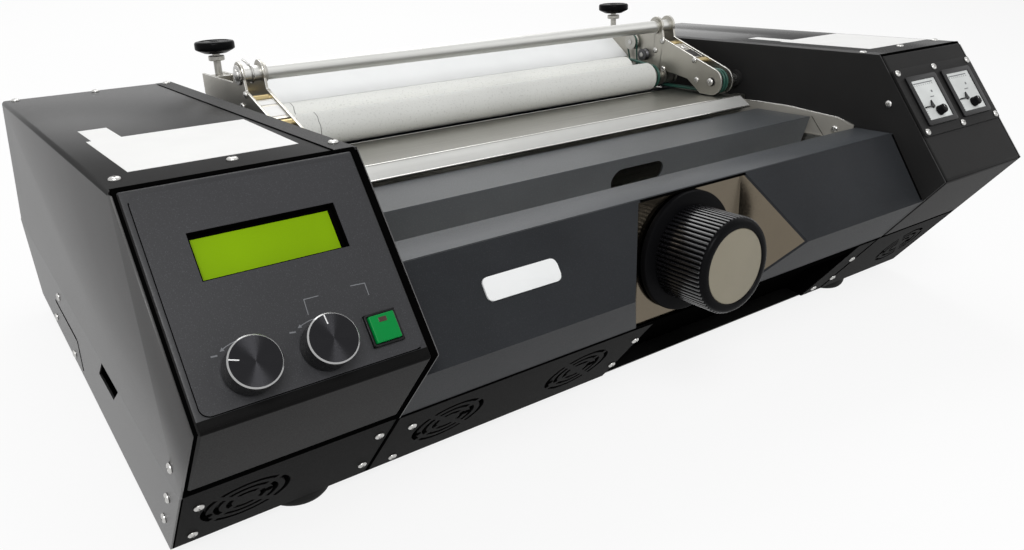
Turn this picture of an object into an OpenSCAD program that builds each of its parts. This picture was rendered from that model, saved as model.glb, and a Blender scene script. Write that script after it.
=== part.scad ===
// Tabletop gluing machine: sheets go over the steel feed table, under the white press rollers
// and over a heated glue roller. Two housings carry the controls, a low base carries everything.
// Millimetres. +Z up, +Y to the back, origin under the middle of the machine at foot level.
// The upper unit leans back by "tilt", so most of its pieces are placed in a leaning frame:
// v runs back along the feed table and w runs square up from it.

/* [Body] */
// Overall width
body_w = 760; // [740:1:800]
// Overall depth, front nose to rear nose
body_d = 493; // [486:1:510]
// Width of each side housing
side_w = 130; // [128:1:136]
// Height of the front nose above the base
nose_h = 144.7; // [142:0.1:148]
// Height of the base box at the front
base_h = 75; // [73:0.5:78]
// Height of the rear nose above the base
rear_h = 58; // [54:1:62]
// How far the base runs in below the rear nose
rear_under = 38.8; // [34:0.2:44]
// Length of the sloped front panel
panel_len = 123.5; // [121:0.5:128]
// Angle of the sloped front panel
panel_angle = 45; // [44:0.5:46]
// Angle of the slanted front below the nose
under_angle = 58.2; // [57:0.1:59.5]
// Depth of the flat top
top_d = 349.5; // [345:0.5:356]
// Lean of the upper unit
tilt = 8.4; // [8:0.1:8.8]
// Sheet thickness of covers
sheet = 1.5; // [1.2:0.1:2]
// Width of the inner panel's top flange
flange_w = 13; // [10:1:16]
// Gap at seams
seam = 0.4; // [0.3:0.1:0.8]

/* [Feet and vents] */
// Foot height
foot_h = 12; // [10:1:16]
// Foot diameter
foot_d = 49; // [44:1:52]
// Foot spacing across
foot_dx = 580; // [540:10:620]
// Front foot, behind the front edge of the base
foot_y1 = 27; // [27:1:36]
// Rear foot, in front of the back edge of the base
foot_y2 = 32; // [28:1:40]
// Outer radius of the air grilles
vent_r = 27; // [25:0.5:28]
// Width of one grille slot
vent_slot = 3.4; // [3:0.1:4]
// Fan size
fan_w = 60; // [58:1:62]
// Fan thickness
fan_t = 15; // [12:1:18]
// Fan wheel radius
wheel_r = 26; // [24:0.5:27]

/* [Controls] */
// Thickness of the control plate
plate_t = 2; // [1.5:0.1:2.5]
// Display window width
lcd_w = 77; // [74:0.5:80]
// Display window height
lcd_h = 25.5; // [24:0.5:27]
// Control knob diameter
knob_d = 26; // [24:0.5:28]
// Control knob height
knob_h = 15; // [13:0.5:17]
// Push travel of the setting knob
push = 1.2; // [0.8:0.1:1.5]
// Start button size
button_w = 14.4; // [13:0.2:15.4]
// Start button travel
button_travel = 3; // [2:0.25:3.5]
// Dial unit face width
face_w = 36.5; // [35:0.5:38]
// Dial unit face height
face_h = 38; // [36:0.5:40]
// Height of a dial unit's bezel above its plate
bezel_h = 1.8; // [1.4:0.1:3]

/* [Film knob] */
// Grip diameter
grip_d = 70; // [66:1:74]
// Number of grip ribs
grip_ribs = 64; // [56:2:72]
// Grip length
grip_l = 43.5; // [42:0.5:46]
// Skirt disc diameter
skirt_d = 90; // [84:1:90]
// Cap diameter
cap_d = 54.5; // [50:0.5:58]
// Knob shaft diameter
knob_shaft_d = 10; // [8:0.5:12]

/* [Rollers and table] */
// Press roller diameter
roller_d = 28; // [26:0.5:29]
// Gap from a press roller's end to its arm
roller_gap = 17; // [15:0.5:23]
// Glue roller diameter
glue_d = 40; // [36:0.5:42]
// Roller journal diameter
journal_d = 8; // [7:0.5:8.5]
// Gap between press roller and glue roller
nip = 0.6; // [0.4:0.1:1.2]
// Gap beside the feed table
table_gap = 15; // [12:0.5:25]
// Gap beside the lid
lid_gap = 6; // [5:0.5:8]
// Lift bar diameter
bar_d = 12; // [11:0.5:13]
// Arm plate thickness
arm_t = 2; // [1.6:0.1:2.4]
// Gap from the housing to the arm's inner plate
arm_in = 37; // [35:0.5:39]
// Spacing of an arm's two plates
arm_gap = 16; // [15:0.5:18]
// Handwheel diameter
wheel_d = 32; // [28:1:34]
// Spindle diameter
spindle_d = 6; // [5:0.5:7]

/* [Fits] */
// Running clearance on a radius
run = 0.06; // [0.04:0.01:0.09]
// Clearance between moving pieces
clear = 0.5; // [0.4:0.1:0.8]

/* [Hidden] */
$fn = 64;
half = body_w / 2;
inlet_x = -(half - 80);
inx = half - side_w;
knob_h0 = plate_t + push + clear;
knob_s = 102;
front_out = (knob_s + knob_d / 2 - panel_len) * cos(panel_angle) + (knob_h0 + knob_h - 1.5) * sin(panel_angle);
ny = -body_d / 2 + front_out / 2;
nz = nose_h + foot_h;
T1 = [ny + panel_len * cos(panel_angle), nz + panel_len * sin(panel_angle)];
T2 = [T1[0] + top_d, T1[1] - top_d * tan(tilt)];
N = [ny, nz];
J = [ny + (nose_h - base_h) / tan(under_angle), base_h + foot_h];
R = [ny + body_d, rear_h + foot_h];
B1 = [ny + nose_h / tan(under_angle), foot_h];
B2 = [R[0] - rear_under, foot_h];

// Leaning frame: its zero is the top fold of the middle front panel
mid_fold = [N[0] + 57, N[1] + 25.9];
mid_nose = N + (J - N) * 0.32;
mid_angle = atan2(mid_fold[1] - mid_nose[1], mid_fold[0] - mid_nose[0]);
strip_d = 35.5;
function tz(v, w) = [mid_fold[0] + v * cos(tilt) + w * sin(tilt), mid_fold[1] - v * sin(tilt) + w * cos(tilt)];

// Places in the leaning frame, [v, w]
pivot = [175.7, 31];
front_axis = [248, 31];
rear_axis = [282, 35];
glue_axis = [252, front_axis[1] - roller_d / 2 - nip - glue_d / 2];
bar_axis = [254, 80];
bar_end = 3;
spindle_v = 329;
lid_axis = [137.5, 0];
knob_x = -6.5;
knob_w = -47.2;
recess_v = 2;
recess_w = 106;
pocket_t = 1.2;
tank_v1 = 44;
tank_v2 = 286;
tank_w1 = -46.5;
tank_w2 = -12;
post_in = 70;
table_v = [143.6, 157.1, 238];
table_w1 = 8.3;
table_w2 = 16.8;
table_t = 1.2;
arm_x = [inx - arm_in, inx - arm_in + arm_gap];
roller_l = 2 * (arm_x[0] - roller_gap);
table_w = 2 * (inx - table_gap);
lid_w = 2 * (inx - lid_gap);
stop_w = 24;
pulley_r = 9;
belt_r = 1.4;
drive_r = 14;
guard = [rear_axis + [14, 11], rear_axis + [45, 32.5]];
blade = [[-32, -20.4], [-32, -0.4], [-28, -0.4], [-24, -5.4], [-24, -20.4]];
bar_v = table_v[1] + 4.9;
drive_x = -(inx + 14);
motor_c = [J[0] + 163, J[1] + 38];
stud_c = 25.5;

// Places on the panels, [x, distance down the slope]
ctl_x = -(half + inx) / 2;
lcd_c = [ctl_x + 0.7, 42.3];
set_c = [ctl_x - 31, knob_s];
speed_c = [ctl_x + 8, knob_s];
button_c = [ctl_x + 40, knob_s];
dial_x = [half - 93.5, half - 36.5];
dial_s = 50;
bezel_w = 47;
face_h0 = plate_t + 0.5;
face_h1 = plate_t + 1.1;
dial_knob_c = [1, 12.5];
dial_ptr_c = [-5, 7];
vent_s = 43;
vent_x = [-(half - 41), -(inx - 50), -(inx - 162), half - 45];
bay_x = [-36, 222];
bay_d = 16;

// Two lines meet: through a and b, and through c and d
function meet(a, b, c, d) = let (e = b - a, g = d - c, k = e[0] * g[1] - e[1] * g[0], q = c - a)
  a + e * ((q[0] * g[1] - q[1] * g[0]) / k);
function left_of(a, b, d) = let (e = b - a, l = norm(e)) [-e[1], e[0]] * d / l;
// Outline drawn clockwise, moved inwards by d
function inset(p, d) = [for (i = [0 : len(p) - 1])
  let (a = p[(i + len(p) - 1) % len(p)], b = p[i], c = p[(i + 1) % len(p)],
       m = left_of(a, b, -d), k = left_of(b, c, -d)) meet(a + m, b + m, b + k, c + k)];
// Open path moved to its left by d
function shifted(p, d) = [for (i = [0 : len(p) - 1])
  i == 0 ? p[0] + left_of(p[0], p[1], d)
  : i == len(p) - 1 ? p[i] + left_of(p[i - 1], p[i], d)
  : let (m = left_of(p[i - 1], p[i], d), k = left_of(p[i], p[i + 1], d))
    meet(p[i - 1] + m, p[i] + m, p[i] + k, p[i + 1] + k)];
function band(p, d) = let (q = shifted(p, d)) concat(p, [for (i = [len(q) - 1 : -1 : 0]) q[i]]);

// Housing outline and its inner line
O = [T1, T2, R, J, N];
I = inset(O, sheet);
T1a = meet(T1, T2, I[4], I[0]);
Ja = meet(J, R, I[3], I[4]);
Ra = meet(J, R, I[1], I[2]);
flange_end = (T2 - T1) * 2 * seam / norm(T2 - T1);
// Base outline and its inner line
P = [J, R, B2, B1];
Q = inset(P, sheet);
Jb = meet(J, R, Q[3], Q[0]);
B1b = meet(B1, B2, Q[3], Q[0]);
Rb = meet(J, R, Q[1], Q[2]);
// Point d behind the slanted base front at height z
function front(d, z) = [J[0] + (J[1] - z) / tan(under_angle) + d / sin(under_angle), z];
mid_path = [tz(strip_d, -14), tz(strip_d, 0), mid_fold, mid_nose, J];
E1 = tz(300, 16);
E2 = T2 + (R - T2) * 0.52;
exit_n = left_of(E2, R, -sheet);
E3 = shifted([E1, E2, R], -sheet)[1];
E4 = meet(J, R, E2 + exit_n, R + exit_n);

// Drawn along X from x0 to x1, with children in the Y Z plane
module xs(x0, x1) { translate([x0, 0, 0]) rotate([90, 0, 90]) linear_extrude(x1 - x0) children(); }
module lean2() { translate(mid_fold) rotate(-tilt) children(); }
module lean() { translate([0, mid_fold[0], mid_fold[1]]) rotate([-tilt, 0, 0]) children(); }
// Round bar along X in the leaning frame
module rod(x0, x1, c, r) { xs(x0, x1) lean2() translate(c) circle(r); }
module on_panel(x, s, h = 0) { translate([x, T1[0], T1[1]]) rotate([panel_angle, 0, 0]) translate([0, -s, h]) children(); }
module on_mid(x, s, h = 0) { translate([x, mid_fold[0], mid_fold[1]]) rotate([mid_angle, 0, 0]) translate([0, -s, h]) children(); }
module on_base(x, s, h = 0) { translate([x, J[0], J[1]]) rotate([180 - under_angle, 0, 0]) translate([0, -s, h]) children(); }
module on_rear(x, s, h = 0) {
  translate([x, R[0], R[1]]) rotate([180 + atan2(rear_h, rear_under), 0, 0]) translate([0, s, h]) children();
}
module on_top(x, d) { translate([x, T1[0], T1[1]]) rotate([-tilt, 0, 0]) translate([0, d, 0]) children(); }
module block(w, l, h0, h1) { translate([-w / 2, -l / 2, h0]) cube([w, l, h1 - h0]); }
module rounded(w, l, r) {
  square([w - 2 * r, l], center = true);
  square([w, l - 2 * r], center = true);
  for (i = [-1, 1], j = [-1, 1]) translate([i * (w / 2 - r), j * (l / 2 - r)]) circle(r, $fn = 32);
}
module tablet(w, l) {
  square([w - l, l], center = true);
  for (i = [-1, 1]) translate([i * (w - l) / 2, 0]) circle(l / 2, $fn = 32);
}
module screw() { cylinder(r = 3.4, h = 1.1, $fn = 24); translate([0, 0, 1.1]) cylinder(r1 = 3.4, r2 = 2, h = 0.9, $fn = 24); }

// Base
module side_slot() { translate(J) polygon([[121.5, -6], [162.3, -7.5], [181.5, -27], [143.4, -25.5]]); }
module base_tray() {
  color([0.07, 0.07, 0.08]) difference() {
    union() {
      xs(-half, -half + sheet) difference() { polygon(P); side_slot(); }
      xs(half - sheet, half) polygon(P);
      xs(-half, half) polygon([B1b, B2, Q[2], Q[3]]);
      xs(-half, half) polygon([R, B2, Q[2], Rb]);
    }
    on_rear(inlet_x, 30, 0) block(28.4, 21.4, -5, 5);
  }
}
module vent() {
  difference() {
    union() {
      for (k = [0 : 2]) difference() {
        circle(vent_r - k * 2.2 * vent_slot);
        circle(vent_r - k * 2.2 * vent_slot - vent_slot);
      }
    }
    for (a = [0 : 1]) rotate(45 + 90 * a) square([3 * vent_r, 4.4], center = true);
  }
}
module vents() { for (x = vent_x) on_base(x, vent_s, -5) linear_extrude(10) vent(); }
module base_front(x0, x1) {
  color([0.08, 0.08, 0.09]) difference() {
    xs(x0, x1) polygon([J, Jb, B1b, B1]);
    vents();
  }
}
module bay_channel() {
  z1 = J[1] - 1.6;
  z0 = foot_h + sheet;
  color([0.03, 0.03, 0.03]) {
    xs(bay_x[0], bay_x[1]) polygon([front(bay_d, z1), front(bay_d + sheet, z1), front(bay_d + sheet, z0), front(bay_d, z0)]);
    for (x = [bay_x[0], bay_x[1] - sheet]) xs(x, x + sheet)
      polygon([front(0, z1), front(bay_d + sheet, z1), front(bay_d + sheet, z0), front(1, z0)]);
    xs(bay_x[0], bay_x[1]) polygon([front(0, z1), front(6, z1), front(6, z1 - 6), front(0, z1 - 6)]);
  }
}
module feet() {
  color([0.04, 0.04, 0.04]) for (x = [-foot_dx / 2, foot_dx / 2], y = [B1[0] + foot_y1, B2[0] - foot_y2])
    translate([x, y, 0]) { cylinder(r1 = foot_d / 2 - 2, r2 = foot_d / 2, h = 4); translate([0, 0, 4]) cylinder(d = foot_d, h = foot_h - 4); }
}

// Housings, drawn for the left and mirrored for the right
module cover() {
  color([0.09, 0.09, 0.10]) {
    xs(-half, -half + sheet) polygon(O);
    xs(-half, -inx - flange_w - seam) polygon([T1a, T2, I[1], I[0]]);
    xs(-half, -inx - sheet) polygon([T2, R, Ra, I[1]]);
  }
}
module housing_front() { xs(-half + sheet, -inx - sheet) polygon([T1, T1a, I[4], Ja, J, N]); }
module inner_panel() {
  color([0.07, 0.07, 0.08]) {
    difference() {
      xs(-inx - sheet, -inx) polygon(O);
      rod(-inx - 5, -inx + 5, glue_axis, 10);
    }
    xs(-inx - flange_w, -inx) polygon([T1a, T2 - flange_end, I[1] - flange_end, I[0]]);
    rod(-inx - 3, -arm_x[0] + 1.5, pivot, journal_d / 2);
    rod(-inx, -inx + 4, pivot, 8);
  }
}
module control_holes() {
  on_panel(lcd_c[0], lcd_c[1]) block(lcd_w, lcd_h, -5, 5);
  on_panel(set_c[0], set_c[1], -5) cylinder(d = 9, h = 10);
  on_panel(speed_c[0], speed_c[1], -5) cylinder(d = 9, h = 10);
  on_panel(button_c[0], button_c[1]) block(16, 16, -5, 5);
}
module left_front() { color([0.08, 0.08, 0.09]) difference() { housing_front(); control_holes(); } }
module control_plate() {
  color([0.16, 0.16, 0.17]) difference() {
    on_panel(ctl_x, panel_len / 2) linear_extrude(plate_t) rounded(side_w - 14, panel_len - 12, 5);
    control_holes();
  }
}
module control_board() {
  color([0.05, 0.25, 0.12]) {
    on_panel(lcd_c[0], lcd_c[1]) {
      block(lcd_w + 20, lcd_h + 22, -14, -12.4);
      difference() {
        block(lcd_w + 9, lcd_h + 10, -12.4, -2);
        block(lcd_w + 1.2, lcd_h + 1.2, -4, 1);
      }
      for (i = [-1, 1], j = [-1, 1]) translate([i * (lcd_w / 2 + 7.4), j * (lcd_h / 2 + 8), -12.4])
        cylinder(r = 2.4, h = 12.4 - sheet, $fn = 24);
    }
    on_panel(set_c[0], set_c[1]) difference() {
      block(14, 14, -13, -sheet);
      translate([0, 0, -11]) cylinder(r = 2 + run, h = 20);
    }
    on_panel(speed_c[0], speed_c[1]) difference() {
      block(17, 17, -13, -sheet);
      translate([0, 0, -10]) cylinder(r = 3 + run, h = 20);
    }
  }
}
module lcd_glass() {
  color([0.45, 0.65, 0.05]) on_panel(lcd_c[0], lcd_c[1]) block(lcd_w + 1, lcd_h + 1, -4, -2.6);
}
module button_frame() {
  color([0.03, 0.03, 0.03]) on_panel(button_c[0], button_c[1]) difference() {
    union() {
      block(17.6, 17.6, plate_t, plate_t + 2.2);
      block(15.8, 15.8, -10, plate_t);
    }
    block(button_w + 0.6, button_w + 0.6, -4.9 - button_travel, 8);
  }
}
module button_cap() {
  color([0.05, 0.45, 0.2]) on_panel(button_c[0], button_c[1]) block(button_w, button_w, -4.5, plate_t + 3.6);
}
module set_push_stem() {
  color([0.6, 0.6, 0.62]) on_panel(set_c[0], set_c[1], -9.5) cylinder(r = 2, h = knob_h0 + knob_h + 9.5 - 3);
}
module turned_knob() {
  cylinder(d = knob_d, h = knob_h - 1.5);
  translate([0, 0, knob_h - 1.5]) cylinder(r1 = knob_d / 2, r2 = knob_d / 2 - 1.5, h = 1.5);
}
module set_knob() {
  color([0.3, 0.3, 0.31]) on_panel(set_c[0], set_c[1], knob_h0) difference() {
    turned_knob();
    translate([0, 0, -1]) cylinder(r = 2 + run, h = knob_h - 1.6);
  }
}
module speed_knob() {
  color([0.3, 0.3, 0.31]) on_panel(speed_c[0], speed_c[1], 0) {
    translate([0, 0, plate_t + 0.8]) turned_knob();
    translate([0, 0, -9]) cylinder(r = 3, h = 14);
  }
}
module dial_cut(w, h0, h1) { for (x = dial_x) on_panel(x, dial_s) block(w, w, h0, h1); }
module right_front() {
  color([0.08, 0.08, 0.09]) difference() {
    mirror([1, 0, 0]) housing_front();
    dial_cut(45, -5, 5);
  }
}
module instrument_plate() {
  color([0.14, 0.14, 0.15]) difference() {
    on_panel(-ctl_x, dial_s - 0.5) linear_extrude(plate_t) rounded(side_w - 5, 65, 3);
    dial_cut(45, -5, 5);
  }
}
module dial_holes() {
  for (x = dial_x) on_panel(x, dial_s) {
    translate([dial_knob_c[0], -dial_knob_c[1], -8]) cylinder(r = 1.5 + run, h = 20, $fn = 32);
    translate([dial_ptr_c[0], -dial_ptr_c[1], -4]) cylinder(r = 1 + run, h = 20, $fn = 32);
  }
}
module dial_frames() {
  color([0.05, 0.05, 0.05]) difference() {
    for (x = dial_x) on_panel(x, dial_s) {
      block(44, 44, -40, face_h0);
      difference() {
        block(bezel_w, bezel_w, plate_t, plate_t + bezel_h);
        block(face_w + 0.2, face_h + 0.2, -5, 20);
      }
    }
    dial_holes();
  }
}
module dial_faces() {
  color([0.8, 0.81, 0.8]) difference() {
    for (x = dial_x) on_panel(x, dial_s) block(face_w, face_h, face_h0, face_h1);
    dial_holes();
  }
}
module dial_knob(i) {
  color([0.04, 0.04, 0.04]) on_panel(dial_x[i] + dial_knob_c[0], dial_s + dial_knob_c[1]) {
    translate([0, 0, face_h1 + 0.4]) cylinder(r = 4.5, h = 6);
    translate([0, 0, -7.5]) cylinder(r = 1.5, h = face_h1 + 9, $fn = 32);
  }
}
module dial_pointer(i) {
  color([0.04, 0.04, 0.04]) on_panel(dial_x[i] + dial_ptr_c[0], dial_s + dial_ptr_c[1]) {
    translate([0, 0, face_h1 + 0.4]) linear_extrude(1.2) {
      circle(1.8, $fn = 32);
      polygon([[-12, -0.5], [1, -0.5], [1.6, 0], [0.6, 5.5], [-2.4, 0.5], [-12, 0.5]]);
    }
    translate([0, 0, -3.5]) cylinder(r = 1, h = face_h1 + 4.5, $fn = 32);
  }
}

// Middle front
module recess_plan() {
  h = recess_w / 2;
  polygon([[-h - 62, recess_v - 62], [-h, recess_v], [h, recess_v], [h + 62, recess_v - 62]]);
}
module mid_front_panel() {
  color([0.08, 0.08, 0.09]) difference() {
    xs(-inx, inx) polygon(band(mid_path, sheet));
    lean() translate([0, 0, -125]) linear_extrude(125 - sheet) recess_plan();
  }
}
module recess_pocket() {
  h = recess_w / 2;
  t = pocket_t;
  q = shifted(mid_path, sheet + 0.05);
  color([0.75, 0.75, 0.74]) {
    difference() {
      intersection() {
        lean() translate([0, 0, -125]) linear_extrude(125 - sheet - 0.05)
          polygon([[-h - 62, recess_v - 62], [-h, recess_v], [h, recess_v], [h + 62, recess_v - 62],
                   [h + 62 + t * 1.414, recess_v - 62], [h + t * 0.414, recess_v + t],
                   [-h - t * 0.414, recess_v + t], [-h - 62 - t * 1.414, recess_v - 62]]);
        xs(-inx, inx) polygon([q[2], q[3], q[4], q[4] + [70, 0], q[2] + [70, 0]]);
      }
      lean() translate([knob_x, recess_v + 10, knob_w]) rotate([90, 0, 0]) cylinder(d = knob_shaft_d + 4, h = 20);
    }
    lean() translate([knob_x, recess_v + t + 16, knob_w]) rotate([90, 0, 0]) difference() {
      cylinder(d = knob_shaft_d + 14, h = 16);
      translate([0, 0, -1]) cylinder(r = knob_shaft_d / 2 + run, h = 20);
    }
  }
}
module blank_plate() {
  color([0.9, 0.9, 0.9]) on_mid(-(inx - 83), 29) linear_extrude(1.2) rounded(56, 15, 4);
}
module grip_outline() {
  a = 360 / grip_ribs;
  r = grip_d / 2;
  polygon([for (i = [0 : grip_ribs - 1], k = [[0, 1], [0.45, 1], [0.6, 0.96], [0.85, 0.96]])
    r * k[1] * [cos(a * (i + k[0])), sin(a * (i + k[0]))]]);
}
module film_knob() {
  color([0.05, 0.05, 0.05]) lean() translate([knob_x, recess_v - 1, knob_w]) rotate([90, 0, 0]) difference() {
    union() {
      cylinder(d = skirt_d, h = 5);
      translate([0, 0, 5]) linear_extrude(grip_l - 3) grip_outline();
      translate([0, 0, 2 + grip_l]) cylinder(r1 = grip_d / 2 - 1.4, r2 = grip_d / 2 - 2.6, h = 3);
      translate([0, 0, -27]) cylinder(d = knob_shaft_d, h = 30);
    }
    translate([0, 0, 2 + grip_l]) cylinder(d = cap_d + 0.4, h = 10);
  }
}
module film_knob_cap() {
  color([0.62, 0.6, 0.55]) lean() translate([knob_x, recess_v - 1, knob_w]) rotate([90, 0, 0])
    translate([0, 0, 2 + grip_l]) cylinder(d = cap_d, h = 2.4);
}
module doctor_blade() {
  color([0.6, 0.6, 0.6]) xs(-inx + 3.6, inx - 3.6) lean2()
    polygon([for (p = blade) glue_axis + p]);
}

// Tank, table and exit
module glue_tank() {
  x = inx - sheet;
  color([0.7, 0.7, 0.68]) difference() {
    xs(-x, x) lean2() polygon([[tank_v1, tank_w1], [tank_v1, tank_w2], [tank_v2, tank_w2], [tank_v2, tank_w1]]);
    xs(-x + sheet, x - sheet) lean2() polygon([[tank_v1 + sheet, tank_w1 + sheet], [tank_v1 + sheet, 20],
      [tank_v2 - sheet, 20], [tank_v2 - sheet, tank_w1 + sheet]]);
  }
  for (x = [-inx + post_in, inx - post_in], v = [tank_v1 + 36, tank_v2 - 36]) {
    c = tz(v, tank_w1);
    color([0.3, 0.3, 0.3]) intersection() {
      translate([x, c[0], foot_h + sheet]) cylinder(r = 6, h = 150);
      xs(x - 10, x + 10) lean2() polygon([[v - 40, tank_w1 + sheet / 2], [v + 40, tank_w1 + sheet / 2], [v + 40, tank_w1 - body_d], [v - 40, tank_w1 - body_d]]);
    }
  }
}
module tank_sides() {
  color([0.75, 0.74, 0.7]) for (m = [0, 1]) mirror([m, 0, 0]) {
    difference() {
      xs(inx - sheet, inx) lean2() polygon([[38, tank_w1], [38, 2], [54, 7], [110, 11], [345, 11], [345, tank_w1]]);
      rod(inx - 5, inx + 5, glue_axis, journal_d / 2 + run);
    }
    rod(lid_w / 2 - 6, inx - sheet / 2, lid_axis, 2);
    xs(arm_x[0] + 1, inx - sheet / 2) lean2() polygon([[spindle_v - 9, 6], [spindle_v - 9, stop_w], [spindle_v + 9, stop_w],
      [spindle_v + 9, 6]]);
  }
}
module tank_lid() {
  x = lid_w / 2;
  color([0.10, 0.10, 0.11]) difference() {
    union() {
      xs(-x, x) lean2() polygon(band([[92.7, -32], [80.3, 5], [141.5, 5]], -sheet));
      for (m = [0, 1]) mirror([m, 0, 0]) xs(x - 3, x) lean2()
        polygon([[131, 4], [141.5, 4], [141.5, -4], [131, -4]]);
    }
    rod(-inx, inx, lid_axis, 2 + run);
    lean() translate([27.5, 70, -14]) rotate([-90, 0, 0]) linear_extrude(40) tablet(57, 19);
  }
}
module feed_table() {
  x = table_w / 2;
  color([0.78, 0.78, 0.77]) {
    xs(-x, x) lean2() polygon(band([[table_v[0], table_w1], [table_v[1], table_w2], [table_v[2], table_w2]], -table_t));
    xs(-inx + sheet, inx - sheet) lean2() polygon([[bar_v, 4], [bar_v, table_w2 - table_t / 2], [bar_v + 10, table_w2 - table_t / 2], [bar_v + 10, 4]]);
  }
}
module exit_table() {
  color([0.7, 0.7, 0.69]) {
    xs(-arm_x[0] + 5, arm_x[0] - 5) polygon([E1, E2, R, E4, E3, E1 + left_of(E1, E2, -sheet)]);
    xs(-inx, inx) polygon([E2, R, E4, E2 + exit_n]);
  }
}
module glue_roller() {
  color([0.55, 0.5, 0.42]) {
    rod(-inx + 18, inx - 18, glue_axis, glue_d / 2);
    rod(drive_x - 12, inx - 0.2, glue_axis, journal_d / 2);
    rod(drive_x - 10, drive_x, glue_axis, drive_r);
  }
}

// Drive, power and air
module motor() {
  color([0.12, 0.12, 0.13]) {
    x = drive_x - 22;
    difference() {
      union() {
        xs(x - 55, x) translate(motor_c) circle(26);
        xs(x, x + 2) translate(motor_c) square(60, center = true);
        for (i = [-1, 1], j = [-1, 1]) xs(x + 2, -inx - sheet) translate(motor_c + stud_c * [i, j]) circle(4, $fn = 32);
      }
      xs(x - 30, x + 10) translate(motor_c) circle(3 + run, $fn = 32);
    }
  }
}
module motor_pulley() {
  color([0.5, 0.5, 0.5]) {
    xs(drive_x - 10, drive_x) translate(motor_c) circle(drive_r);
    xs(drive_x - 50, drive_x - 5) translate(motor_c) circle(3, $fn = 32);
  }
}
module loop2(d, r) { translate([d / 2, 0]) square([d, 2 * r], center = true); circle(r); translate([d, 0]) circle(r); }
module drive_belt() {
  g = tz(glue_axis[0], glue_axis[1]);
  d = norm(g - motor_c);
  a = atan2(g[1] - motor_c[1], g[0] - motor_c[0]);
  color([0.03, 0.03, 0.03]) xs(drive_x - 9, drive_x - 1) translate(motor_c) rotate(a)
    difference() { loop2(d, drive_r + 2); loop2(d, drive_r + 0.3); }
}
module power_unit() { color([0.5, 0.5, 0.52]) translate([-150, B1[0] + 136, foot_h + sheet]) cube([160, 100, 40]); }
module mains_inlet() {
  color([0.03, 0.03, 0.03]) on_rear(inlet_x, 30) difference() {
    union() {
      block(48, 25, 0, 2.5);
      block(28, 21, -24, 0);
    }
    block(24, 17, -18, 10);
  }
  color([0.6, 0.6, 0.6]) on_rear(inlet_x, 30) for (x = [-7, 0, 7]) translate([x, x == 0 ? 3 : -2, 0]) block(2, 4, -19, -3);
}
module fan_frame() {
  z = -sheet - fan_t;
  difference() {
    block(fan_w, fan_w, z, -sheet);
    translate([0, 0, z - 1]) cylinder(r = wheel_r + 1, h = fan_t + 2);
  }
  for (a = [0 : 2]) rotate(120 * a + 30) translate([5, -2, z]) cube([wheel_r - 3, 4, 2]);
  difference() {
    translate([0, 0, z]) cylinder(r = 9, h = 4);
    translate([0, 0, z + 1]) cylinder(r = 1.5 + run, h = 10, $fn = 32);
  }
}
module fan_frames() { color([0.05, 0.05, 0.05]) for (x = [vent_x[0], vent_x[3]]) on_base(x, vent_s) fan_frame(); }
module fan_wheel(x) {
  z = -sheet - fan_t;
  color([0.06, 0.06, 0.06]) on_base(x, vent_s) {
    translate([0, 0, z + 4.5]) cylinder(r = 10, h = fan_t - 6.5);
    translate([0, 0, z + 1.3]) cylinder(r = 1.5, h = 5, $fn = 32);
    for (a = [0 : 6]) rotate(a * 360 / 7) translate([9, 0, z + fan_t / 2 + 1.2]) rotate([38, 0, 0])
      translate([0, -5, -0.6]) cube([wheel_r - 10, 10, 1.2]);
  }
}

// Press unit
module arm_plate_outline() {
  difference() {
    union() {
      translate(pivot) circle(13);
      translate(front_axis) circle(10);
      translate(rear_axis) circle(10);
      translate(bar_axis) circle(10);
      polygon([[pivot[0] - 4.5, pivot[1] + 12.2], [243, 69], [246, 84], [262, 84], [270, 73], [345, 73], [345, 56], [296, 42],
        [272, 30], [258, 36], [238, 36], [208, 31], [190, 18.4], [pivot[0], 18]]);
    }
    translate(pivot) circle(journal_d / 2 + run);
    translate(front_axis) circle(journal_d / 2 + run);
    translate(rear_axis) circle(journal_d / 2 + run);
    translate(bar_axis) circle(bar_d / 2);
  }
}
module arm() {
  color([0.5, 0.49, 0.46]) {
    for (x = arm_x) xs(x, x + arm_t) lean2() arm_plate_outline();
    lean() translate([(arm_x[0] + arm_t + arm_x[1]) / 2, spindle_v, 58]) difference() {
      block(arm_x[1] - arm_x[0] - arm_t, 14, 0, 14);
      translate([0, 0, -1]) cylinder(r = spindle_d / 2 + run, h = 20);
    }
    xs(arm_x[0] + arm_t, arm_x[1]) lean2() polygon([[204, 51], [232, 61.3], [231.6, 62.8], [203.6, 52.5]]);
  }
}
module arm_spacers() {
  color([0.72, 0.58, 0.25]) for (m = [0, 1], c = [[199, 48.6], [240, 62], [300, 60]]) mirror([m, 0, 0])
    rod(arm_x[0] + arm_t, arm_x[1], c, 3.5);
}
module lift_bar() {
  color([0.65, 0.65, 0.64]) {
    difference() {
      rod(-arm_x[1] - arm_t, arm_x[1] + arm_t, bar_axis, bar_d / 2);
      rod(-arm_x[1], arm_x[1], bar_axis, bar_d / 2 - 1.5);
    }
    for (m = [0, 1]) mirror([m, 0, 0]) rod(arm_x[1] + arm_t, arm_x[1] + arm_t + bar_end, bar_axis, bar_d / 2 + 1.6);
  }
}
module guard_sheet() {
  color([0.85, 0.86, 0.86]) xs(-arm_x[0], arm_x[0]) lean2() polygon(band(guard, sheet));
}
module roller(c, arm_pulley) {
  rod(-roller_l / 2, roller_l / 2, c, roller_d / 2);
  x = arm_x[1] + arm_t - 0.2;
  rod(-x, x, c, journal_d / 2);
  for (m = [0, 1]) mirror([m, 0, 0]) {
    rod(arm_x[0] - 14, arm_x[0] - 7, c, pulley_r);
    if (arm_pulley) rod(arm_x[0] + 5, arm_x[0] + 13, c, pulley_r);
  }
}
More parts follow.
